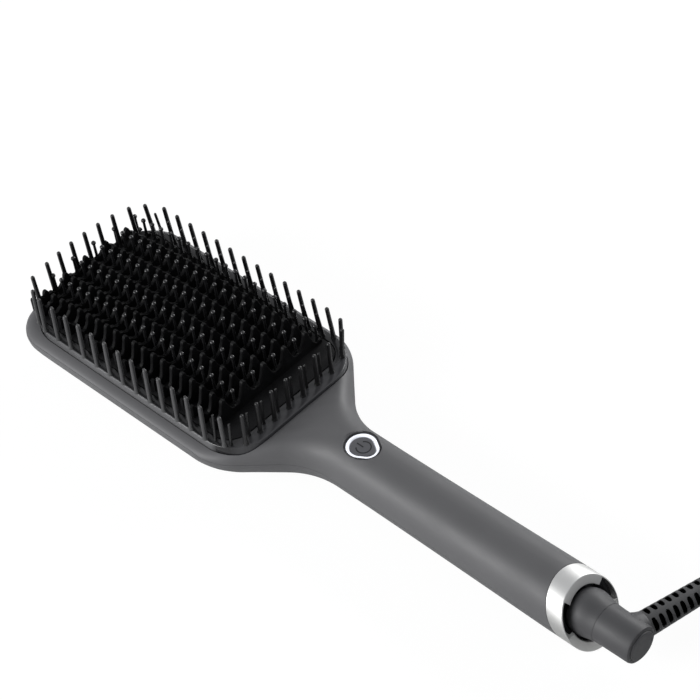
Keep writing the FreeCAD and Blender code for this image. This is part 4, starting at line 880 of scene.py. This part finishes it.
COMB_PITCH, TOOTH_PITCH = 5.3, 10.73
COMBS = [56.7 + (index - 9.5) * COMB_PITCH for index in range(20)]
TEETH = [(index - 2) * TOOTH_PITCH for index in range(5)]


def crown(x, y):
    """Drop of the tips below the highest one."""
    return 3.8 * ((x - 62.0) / 50.35) ** 2 + 2.4 * (y / (2.5 * TOOTH_PITCH)) ** 2


def valley(x, y):
    """Height of a comb between its teeth, where the pins stand."""
    return max(7.3 - crown(x, y), 0.5)


class HAIRBRUSH_OT_bristles(bpy.types.Operator):
    """Grows the two rows of frame bristles and the ball-tipped pins"""

    bl_idname = "hairbrush.bristles"
    bl_label = "Bristles"

    def execute(self, context):
        sizes = context.scene.brush_sizes
        tree, keys = pin_tree("bristle_growth", "bristle_black")
        radius = sizes.bristle_radius
        outer_corners = ((1, -1, -65), (1, 1, 25), (1, 1, 62), (-1, 1, 125), (-1, 1, 172),
                         (-1, -1, -112), (-1, -1, -165))
        inner_corners = ((1, -1, -45), (1, 1, 45))
        rows = (
            ("outer_bristles", "bristle_outer", 0, 0, 16.55, radius, radius * 1.35, outer_corners),
            ("inner_bristles", "bristle_black", 2.1, 0.5, 12.7, 0.0006, 0.0008, inner_corners))
        for node, finish, inset, phase, height, shaft, foot, corners in rows:
            places = [(Vector((along(x), y * MM, BED - 0.0001)), Vector((lean_x, lean_y, height)))
                      for x, y, lean_x, lean_y in ring_places(inset, phase, corners)]
            tip = shaft * 0.9
            inputs = {"height": height * MM - tip + 0.0009, "foot": foot, "waist": shaft,
                      "tip": tip, "ball": tip, "collar": 0.0012}
            made = grown(node + "_grown", tree, keys, places, inputs, finish)
            stands_for(made, "brush", "bristle_black", node)
        by_height = {}
        for x in COMBS:
            for tooth in TEETH:
                y = tooth + TOOTH_PITCH / 2
                floor = valley(x, y)
                height = 15.6 - crown(x, y) - floor
                place = Vector((along(x), y * MM, BED + (floor - 0.05) * MM))
                by_height.setdefault(round(height * 4), []).append((place, Vector((0, 0, height))))
        pins = []
        for group in by_height.values():
            height = sum(lean.z for place, lean in group) / len(group) * MM
            inputs = {"height": height + 0.00005, "foot": 0.00085, "waist": 0.0006,
                      "tip": 0.00052, "ball": sizes.ball_radius, "collar": 0.0008}
            pins.append(grown("ball_pin_group", tree, keys, group, inputs, "ball_tip"))
        balls = merged("ball_pins_grown", pins, "ball_tip")
        stands_for(balls, "brush", "bristle_black", "ball_pins")
        return {"FINISHED"}


def comb_outline(x):
    """(y, z above the bed) corners of one comb: a low rib, then teeth with floors between them."""
    points = [(-28.4, -0.5), (-28.4, 5.2), (-28.2, 5.8), (-27.7, 6.0), (-27.2, 5.8), (-26.9, 5.1)]
    left_half = ((-1.3, 2.4), (-1.15, 1.4), (-0.9, 0.65), (-0.5, 0.16), (0, 0))
    tooth = left_half + tuple((-aside, drop) for aside, drop in left_half[-2::-1])
    for index, y in enumerate(TEETH):
        top = 12.9 - 2.7 * ((x - 80) / 50) ** 2 - 2.4 * (y / (2.5 * TOOTH_PITCH)) ** 2
        if index == 0:
            points += [(y - 4.6, 3.5), (y - 3.4, 3.4), (y - 2.5, 4.2)]
        points += [(y + aside, top - drop) for aside, drop in tooth]
        middle = y + TOOTH_PITCH / 2
        scallop = ((-2.5, 1.2), (-1.8, 0.4), (-1.0, 0), (1.0, 0), (1.8, 0.4), (2.5, 1.2))
        if index == len(TEETH) - 1:
            scallop = scallop[:4]
        points += [(middle + aside, valley(x, middle) + rise) for aside, rise in scallop]
    points += [(28.4, valley(x, 28.4) - 0.2), (28.4, -0.5)]
    return points


def comb_mesh(x):
    """One comb as a thin plate with softened edges."""
    outline = comb_outline(x)
    loops = []
    for offset, inset in ((-0.75, 0.16), (-0.59, 0.0), (0.59, 0.0), (0.75, 0.16)):
        loop = []
        for index, (y, z) in enumerate(outline):
            before, after = outline[index - 1], outline[(index + 1) % len(outline)]
            run = Vector((after[0] - before[0], after[1] - before[1]))
            inward = Vector((0, 0)) if z < 0 else Vector((run.y, -run.x)).normalized()
            loop.append(Vector((along(x + offset), (y + inward.x * inset) * MM,
                                BED + (z + inward.y * inset) * MM)))
        loops.append(loop)
    return lofted("comb", loops, "coated_heater", crease=35)


class HAIRBRUSH_OT_combs(bpy.types.Operator):
    """Builds the heater plate with its transverse combs of blunt teeth"""

    bl_idname = "hairbrush.combs"
    bl_label = "Heater combs"

    def execute(self, context):
        edge = ((0.35, 20.5), (0.35, 22.3), (0.42, 22.44), (0.57, 22.5))
        base = [rounded_loop(WINDOW, inset, level) for inset, level in edge]
        parts = [lofted("plate", base, "coated_heater")] + [comb_mesh(x) for x in COMBS]
        made = merged("heater_plate_combs", parts, "coated_heater", 35)
        stands_for(made, "brush", "coated_heater", "heater_plate")
        return {"FINISHED"}


# ---------------------------------------------------------------- button and light

class HAIRBRUSH_OT_button(bpy.types.Operator):
    """Builds the ring with its painted glow, the button cap and the plain power glyph on it"""

    bl_idname = "hairbrush.button"
    bl_label = "Button and light"

    def execute(self, context):
        edge = ((0, 13.5), (0, 22.45), (0.05, 22.66), (0.17, 22.8), (0.36, 22.86), (0.6, 22.85),
                (0.85, 22.76), (1.04, 22.6), (1.12, 22.4), (1.14, 22.2), (1.14, 20.0), (0.8, 19.9),
                (0.8, 13.5))
        ring = [egg_loop(5.9 - inset, level) for inset, level in edge]
        light = lofted("light_ring_moulding", ring, "light_white", closed=True)
        stands_for(light, "brush", "light_white", "light_ring")
        # Painted shadow: a dark seat, shifted towards the toe and the far side, shows as a dark
        # crescent in the gap round the ring.
        shadow_seat = [egg_loop(wide, level) for wide, level in (
            (5.3, 21.5), (5.3, 22.5), (5.4, 22.6), (6.5, 22.76), (6.6, 22.62), (6.6, 21.5))]
        shadow_seat = [[point + Vector((-0.5, 0.4, 0)) * MM for point in loop] for loop in shadow_seat]
        shadow_seat = lofted("light_ring_shadow_seat", shadow_seat, "swivel_dark", closed=True)
        stands_for(shadow_seat, "brush", "light_white")
        cap = [egg_loop(wide, level) for wide, level in (
            (4.95, 18.4), (4.95, 19.5), (4.55, 19.5), (4.55, 22.15), (4.5, 22.36), (4.35, 22.49),
            (4.1, 22.56))]
        cap += [egg_loop(wide, level, 0.6 * wide) for wide, level in (
            (3.2, 22.58), (2.4, 22.565), (1.5, 22.5525), (0.8, 22.545))]
        button = lofted("button_cap_moulding", cap, "button_grey")
        stands_for(button, "button", "button_grey", "power_button")
        stands_for(self.glyph(), "button", "button_grey")
        return {"FINISHED"}

    def glyph(self):
        """A broken ring with a bar, facing the cord end, a hair above the cap."""
        middle, radius, half = 156.9, 2.75, 0.26
        low, high = 22.56, 22.596

        def band(near, far):
            return ((near, low), (near, high), (far, high), (far, low))

        arc = []
        for step in range(41):
            across, up = cos(radians(220 + 7 * step)), sin(radians(220 + 7 * step))
            arc.append([Vector((along(middle + reach * across), reach * up * MM, level * MM))
                        for reach, level in band(radius - half, radius + half)])
        bar = [[Vector((along(x), y * MM, level * MM)) for y, level in band(-half, half)]
               for x in (middle - 3.4, middle - 0.2)]
        pieces = [lofted("glyph_arc", arc, "button_mark"), lofted("glyph_bar", bar, "button_mark")]
        return merged("power_glyph", pieces, "button_mark")


# ---------------------------------------------------------------- collar, swivel and elbow

class HAIRBRUSH_OT_collar(bpy.types.Operator):
    """Builds the polished end collar and the recessed socket inside it"""

    bl_idname = "hairbrush.collar"
    bl_label = "Collar and socket"

    def pocket(self, first, last):
        """A cutter for a recess in the collar's face, between two angles about the axis."""
        outline = [(12.45, angle) for angle in range(first, last + 1, 4)]
        outline += [(9.0, angle) for angle in range(last, first - 1, -4)]
        loops = []
        for distance in (COLLAR_REAR - 4.3, COLLAR_REAR + 2):
            loop = []
            for radius, angle in outline:
                y, z = radius * cos(radians(angle)), radius * sin(radians(angle))
                loop.append(Vector((along(distance - SLANT * z), y * MM, GRIP_AXIS + z * MM)))
            loops.append(loop)
        return lofted("pocket", loops, "chrome")

    def execute(self, context):
        front, rear = COLLAR_FRONT, COLLAR_REAR
        profile = softened([(front + 0.1, 10.9), (front + 0.1, 12.87), (rear, 12.87), (rear, 9.5),
                            (rear - 1.2, 9.5), (rear - 1.2, 10.9), (front + 0.2, 10.9)], 0.3)
        collar = lofted("end_collar_chrome", slanted_loops(profile, 128), "chrome", closed=True)
        for first, last in ((-14, 36), (128, 190)):
            cut(collar, self.pocket(first, last))
        collar = refinished(collar, "end_collar_chrome", "chrome", 30)
        stands_for(collar, "brush", "chrome", "end_collar")
        outline = [(front - 1.5, 7.4), (front - 1.5, 10.4), (rear - 4.4, 10.4), (rear - 4.4, 12.4),
                   (rear - 2.9, 12.4), (rear - 2.9, 10.9)]
        for groove in (10.7, 10.2, 9.7):
            outline += [(rear - 2.9, groove), (rear - 3.25, groove - 0.15),
                        (rear - 3.25, groove - 0.35)]
        outline += [(rear - 2.9, 9.3), (rear - 4.0, 9.2), (rear - 5.2, 9.1), (rear - 5.2, 4.05),
                    (front - 1.5, 4.05)]
        loops = slanted_loops(outline, 96)
        socket = lofted("swivel_socket_slanted", loops, "swivel_dark", closed=True)
        outline = [(241.0, 7.5), (241.0, 9.5), (251.5, 9.5), (251.5, 7.5)]
        barrel = turned("barrel", outline, "swivel_dark")
        socket = merged("swivel_socket_moulding", [socket, barrel], "swivel_dark", 32)
        stands_for(socket, "brush", "swivel_dark", "swivel_socket")
        return {"FINISHED"}


def about_relief(distance, angle, radius):
    """A point round the strain relief's axis, in millimetres along and away from it."""
    outwards = CORD_WAY.cross(UP) * cos(angle) + UP * sin(angle)
    return CORD_ROOT + (CORD_WAY * distance + outwards * radius) * MM


def squared(share):
    """Pushes a sine or cosine outwards, so that a circle becomes a rounded square."""
    return abs(share) ** 0.7 * (1 if share > 0 else -1)


def relief_ring(distance, radius, count):
    """A ring of points about the strain relief's axis."""
    return [about_relief(distance, 2 * pi * index / count, radius) for index in range(count)]


class HAIRBRUSH_OT_elbow(bpy.types.Operator):
    """Builds the turning elbow with its end cap and the slotted strain relief"""

    bl_idname = "hairbrush.elbow"
    bl_label = "Elbow and strain relief"

    def slot(self, work, place, middle):
        """Adds the cutter of one slot, an oblong with soft corners, at an angle about the axis."""
        half_angle, half_width, corners = 35, 0.98, 16
        radius = 4.8 - 1.1 * (place - 11) / 45.4
        loops = []
        for level in (max(radius - 1.4, 3.1), radius * 1.3):
            loop = []
            for step in range(corners):
                turn = 2 * pi * step / corners
                angle = radians(middle + half_angle * squared(cos(turn)))
                place_here = place + half_width * squared(sin(turn))
                loop.append(work.verts.new(about_relief(place_here, angle, level)))
            loops.append(loop)
        low, high = loops
        for step in range(corners):
            after = (step + 1) % corners
            work.faces.new((low[step], low[after], high[after], high[step]))
        work.faces.new(low[::-1])
        work.faces.new(high)

    def relief(self):
        """A tapered sleeve with rows of slots cut into it."""
        profile = ((7.0, 0.02), (7.0, 4.7), (7.2, 4.8), (9.0, 4.84), (56.4, 3.7), (56.9, 3.55),
                   (57.1, 3.3), (57.1, 0.02))
        sleeve = lofted("strain_relief_sleeve", [relief_ring(*place, 64) for place in profile],
                        "relief_rubber")
        first_slot, slot_pitch, slot_rows = 9.9, 2.98, 15
        work = bmesh.new()
        for row in range(slot_rows):
            for middle in (30, 120, 210, 300):
                self.slot(work, first_slot + slot_pitch * row, middle)
        bmesh.ops.recalc_face_normals(work, faces=work.faces)
        mesh = bpy.data.meshes.new("slots")
        work.to_mesh(mesh)
        work.free()
        cutter = bpy.data.objects.new("slots", mesh)
        bpy.context.scene.collection.objects.link(cutter)
        cut(sleeve, cutter)
        return refinished(sleeve, "strain_relief_sleeve", "slotted_rubber", 34)

    def execute(self, context):
        ball, middle, tail = 8.8, COLLAR_REAR - 0.35, 240.2
        profile = [(tail, 0.02), (tail, 3.9), (middle - 4.4, 3.9), (middle - 4.4, 7.3)]
        for step in range(1, 9):
            angle = radians(124 - 34 * step / 9)
            profile.append((middle + ball * cos(angle), ball * sin(angle)))
        profile += [(middle + run, radius) for run, radius in (
            (0.3, 8.8), (1.2, 8.73), (2.2, 8.55), (3.3, 8.29), (4.4, 8.02), (5.6, 7.8), (6.7, 7.65),
            (7.2, 7.6), (7.25, 7.48), (7.4, 7.48), (7.45, 7.58), (9.0, 7.47), (11.0, 7.4))]
        profile += [(285.2, 7.35), (285.9, 7.1), (286.25, 6.6), (286.3, 6.02), (285.6, 5.97),
                    (285.6, 0.02)]
        body = turned("swivel_elbow_moulding", profile, "elbow_grey", closed=False, crease=34)
        root = ((3.0, 6.2), (5.4, 6.0), (6.4, 5.5), (7.6, 5.1), (8.1, 4.95), (8.3, 4.85))
        stub = lofted("stub", [relief_ring(*place, 32) for place in root], "elbow_grey")
        cut(body, stub, "UNION")
        body = refinished(body, "swivel_elbow_moulding", "elbow_grey", 34)
        stands_for(body, "swivel", "elbow_grey", "swivel_elbow")
        profile = softened([(285.65, 0.02), (285.65, 5.82), (286.6, 5.82), (286.85, 5.55),
                            (286.9, 4.8), (286.85, 0.02)], 0.25)
        cap = turned("elbow_cap_moulding", profile, "elbow_grey")
        stands_for(cap, "swivel", "elbow_grey", "elbow_cap")
        stands_for(self.relief(), "swivel", "relief_rubber", "strain_relief")
        return {"FINISHED"}


# ---------------------------------------------------------------- cord and plug

LEAD = [Vector(point) for point in (
    (0.149138, 0.055501, 0.01195), (0.152041, 0.067144, 0.011238), (0.157299, 0.077033, 0.008835),
    (0.164793, 0.085357, 0.005809), (0.174079, 0.09162, 0.003584), (0.184603, 0.09545, 0.00305))]
TAIL = [Vector(point) for point in (
    (0.24343, 0.080914, 0.0091), (0.251787, 0.070955, 0.008875), (0.256667, 0.059993, 0.007975),
    (0.258338, 0.048109, 0.007075), (0.256875, 0.036199, 0.00685))]
COIL_MIDDLE = Vector((0.205498, 0.053001, 0))
COIL_OUTER, COIL_INNER = 0.047, 0.0242
COIL_START, COIL_LEAVE = 110.0, 40.0                 # angles at which the cord meets the coil
POINTS_PER_TURN = 16


class HAIRBRUSH_OT_cord(bpy.types.Operator):
    """Lays the cord, winds its stored length and dresses the plug"""

    bl_idname = "hairbrush.cord"
    bl_label = "Cord and plug"

    def route(self, turns):
        """Lead, a two-layer flat coil wound inwards and out again, and tail."""
        points = list(LEAD)
        whole = turns + (COIL_START - COIL_LEAVE) / 360
        steps = int(whole * POINTS_PER_TURN)
        for step in range(1, steps + 1):
            turn = step * whole / (steps + 0.6)
            inward = min(turn, whole - turn) / (whole / 2)
            radius = COIL_OUTER - (COIL_OUTER - COIL_INNER) * inward
            share = min(max((turn - whole / 2 + 0.18) / 0.36, 0), 1)
            level = LEAD[-1].z + (TAIL[0].z - LEAD[-1].z) * share * share * (3 - 2 * share)
            angle = radians(COIL_START - 360 * turn)
            points.append(COIL_MIDDLE + Vector((radius * cos(angle), radius * sin(angle), level)))
        return points + list(TAIL)

    def execute(self, context):
        sizes = context.scene.brush_sizes
        points = self.route(sizes.coil_turns)
        curve = bpy.data.curves.new("mains_cord", "CURVE")
        curve.dimensions = "3D"
        spline = curve.splines.new("NURBS")
        spline.points.add(len(points) - 1)
        for item, point in zip(spline.points, points):
            item.co = (*point, 1)
        spline.order_u = 3
        spline.use_endpoint_u = True
        spline.resolution_u = 5
        curve.bevel_depth = sizes.cord_radius
        curve.bevel_resolution = 5
        curve.use_fill_caps = True
        curve.materials.append(FINISHES["cord_black"])
        cord = bpy.data.objects.new("mains_cord", curve)
        bpy.context.scene.collection.objects.link(cord)
        stands_for(cord, "swivel", "cord_black", "cord_lead", "cord_coil", "cord_tail")
        plug = copy_of("plug_body", "plug_body_moulding", "plug_black", 30)
        stands_for(plug, "swivel", "plug_black", "plug_body")
        sleeve = copy_of("plug_strain_relief", "plug_relief_sleeve", "relief_rubber", 30)
        stands_for(sleeve, "swivel", "relief_rubber", "plug_strain_relief")
        pins = copy_of("plug_pins", "plug_pins_nickel", "nickel", 40)
        stands_for(pins, "swivel", "nickel", "plug_pins")
        return {"FINISHED"}


# ---------------------------------------------------------------- inside pieces

class HAIRBRUSH_OT_inside(bpy.types.Operator):
    """Gives the pieces inside the housing their finishes"""

    bl_idname = "hairbrush.inside"
    bl_label = "Inside pieces"

    def execute(self, context):
        slots = {item["node"]: item["material_slot"] for item in frame["record"]["subparts"]}
        for name, node in NODES.items():
            node.data.materials.clear()
            node.data.materials.append(FINISHES[slots[name]])
        self.tray()
        return {"FINISHED"}

    def tray(self):
        """The heater's tray, drawn in and rounded at its corners to stay below the rim."""
        tray = copy_of("heater_carrier", "heater_carrier_tray", "carrier_resin")
        low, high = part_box("heater_carrier")
        corner = 15.7 * MM
        for point in tray.data.vertices:
            point.co.x = along(5.6) + (point.co.x - low.x) / (high.x - low.x) * 118.2 * MM
            point.co.y *= 32.7 / 35.1
            centre = Vector((min(max(point.co.x, along(21.5)), along(107.9)),
                             min(max(point.co.y, -16.8 * MM), 16.8 * MM), point.co.z))
            reach = (point.co - centre).length
            if reach > corner:
                point.co = centre + (point.co - centre) * (corner / reach)
        stands_for(tray, "brush", "carrier_resin", "heater_carrier")


# ---------------------------------------------------------------- stage

def soft_lamp(name, place, aim, size, power):
    """A rectangular area lamp turned towards an aim."""
    light = bpy.data.lights.new(name, "AREA")
    light.shape = "RECTANGLE"
    light.size, light.size_y = size
    light.energy = power
    lamp = bpy.data.objects.new(name, light)
    lamp.location = place
    lamp.rotation_euler = (Vector(aim) - Vector(place)).to_track_quat("-Z", "Y").to_euler()
    bpy.context.scene.collection.objects.link(lamp)


class HAIRBRUSH_OT_stage(bpy.types.Operator):
    """Sets the white ground, the soft lamps, the world and the camera"""

    bl_idname = "hairbrush.stage"
    bl_label = "Stage"

    def execute(self, context):
        scene = context.scene
        scene.view_settings.view_transform = "Standard"
        self.floor()
        self.world(scene)
        soft_lamp("near_side_light", (-0.33, -0.93, 0.46), (0, 0, 0.01), (0.8, 0.4), 10.5)
        soft_lamp("far_side", (0.05, 0.95, 0.42), (0, 0, 0.01), (0.9, 0.4), 8.0)
        self.camera(scene)
        return {"FINISHED"}

    def floor(self):
        """The ground under the brush, nearly white where the camera sees it."""
        look = Finish("white_ground")
        mottle = look.noise(3, 2)
        tone = look.mixed(look.span(mottle, 0, 1), (0.92, 0.92, 0.92, 1), (0.94, 0.94, 0.94, 1))
        shader = look.node("ShaderNodeBsdfPrincipled", None,
                           {"Base Color": tone, "Roughness": 0.8, "Specular IOR Level": 0.1})
        white = look.node("ShaderNodeEmission", None, {"Color": (1, 1, 1, 1), "Strength": 1.05})
        rays = look.node("ShaderNodeLightPath", output="Is Camera Ray")
        both = look.node("ShaderNodeMixShader", None, {0: rays * 0.9, 1: shader, 2: white})
        look.node("ShaderNodeOutputMaterial", None, {"Surface": both})
        FINISHES["ground"] = look.material
        level = CAD_BOUNDS[0][2]
        corners = [(-3, -3, level), (3, -3, level), (3, 3, level), (-3, 3, level)]
        ground = mesh_piece("ground", corners, [(0, 1, 2, 3)], "ground")

    def world(self, scene):
        """A white surround for the camera, greyer in reflections and dim as a light."""
        world = bpy.data.worlds.new("studio")
        world.use_nodes = True
        tree = Tree(world.node_tree)

        def background(tint, strength):
            return tree.node("ShaderNodeBackground", None, {"Color": tint, "Strength": strength})

        mirrored = tree.node("ShaderNodeLightPath", output="Is Glossy Ray")
        seen = tree.node("ShaderNodeLightPath", output="Is Camera Ray")
        fill = tree.node("ShaderNodeMixShader", None, {
            0: mirrored, 1: background((0.94, 0.97, 1, 1), 0.2),
            2: background((0.96, 0.97, 1, 1), 0.62)})
        both = tree.node("ShaderNodeMixShader", None, {
            0: seen, 1: fill, 2: background((1, 1, 1, 1), 1)})
        tree.node("ShaderNodeOutputWorld", None, {"Surface": both})
        scene.world = world

    def camera(self, scene):
        """The view from the cord side, turned a little about its own axis."""
        azimuth, height, roll = radians(51.602), radians(45.862), radians(-10.211)
        aim, distance = Vector((-0.02499, 0.03171, 0.0225)), 1.0155
        back = Vector((sin(azimuth) * cos(height), -cos(azimuth) * cos(height), sin(height)))
        right = (-back).cross(UP).normalized()
        upward = right.cross(-back)
        turned_right = right * cos(roll) + upward * sin(roll)
        turned_up = upward * cos(roll) - right * sin(roll)
        lens = bpy.data.cameras.new("studio_camera")
        lens.lens = 140.16
        lens.sensor_width = 36
        lens.clip_end = 20
        camera = bpy.data.objects.new("studio_camera", lens)
        rows = zip(turned_right, turned_up, back, aim + back * distance)
        camera.matrix_world = Matrix((*rows, (0, 0, 0, 1)))
        scene.collection.objects.link(camera)
        scene.camera = camera


# ---------------------------------------------------------------- add-on

OPERATORS = (HAIRBRUSH_OT_stage, HAIRBRUSH_OT_inside, HAIRBRUSH_OT_cord, HAIRBRUSH_OT_housing,
             HAIRBRUSH_OT_bezel, HAIRBRUSH_OT_bristles, HAIRBRUSH_OT_combs, HAIRBRUSH_OT_button,
             HAIRBRUSH_OT_collar, HAIRBRUSH_OT_elbow)


class HAIRBRUSH_PT_panel(bpy.types.Panel):
    """Lists the builders of the hair brush"""

    bl_idname = "HAIRBRUSH_PT_panel"
    bl_label = "Hair Brush"
    bl_space_type = "VIEW_3D"
    bl_region_type = "UI"
    bl_category = "Hair Brush"

    def draw(self, context):
        for operator in OPERATORS:
            self.layout.operator(operator.bl_idname)


CLASSES = (BrushSizes, BrushColours, *OPERATORS, HAIRBRUSH_PT_panel)


def register():
    """Registers the classes and puts both property groups on the scene."""
    for item in CLASSES:
        bpy.utils.register_class(item)
    bpy.types.Scene.brush_sizes = bpy.props.PointerProperty(type=BrushSizes)
    bpy.types.Scene.brush_colours = bpy.props.PointerProperty(type=BrushColours)


def unregister():
    """Takes back what register() added."""
    del bpy.types.Scene.brush_colours
    del bpy.types.Scene.brush_sizes
    for item in reversed(CLASSES):
        bpy.utils.unregister_class(item)


def main():
    """Builds every piece."""
    register()
    make_finishes(bpy.context.scene.brush_colours)
    for operator in OPERATORS:
        group, name = operator.bl_idname.split(".")
        getattr(getattr(bpy.ops, group), name)()


if __name__ == "__main__":
    main()
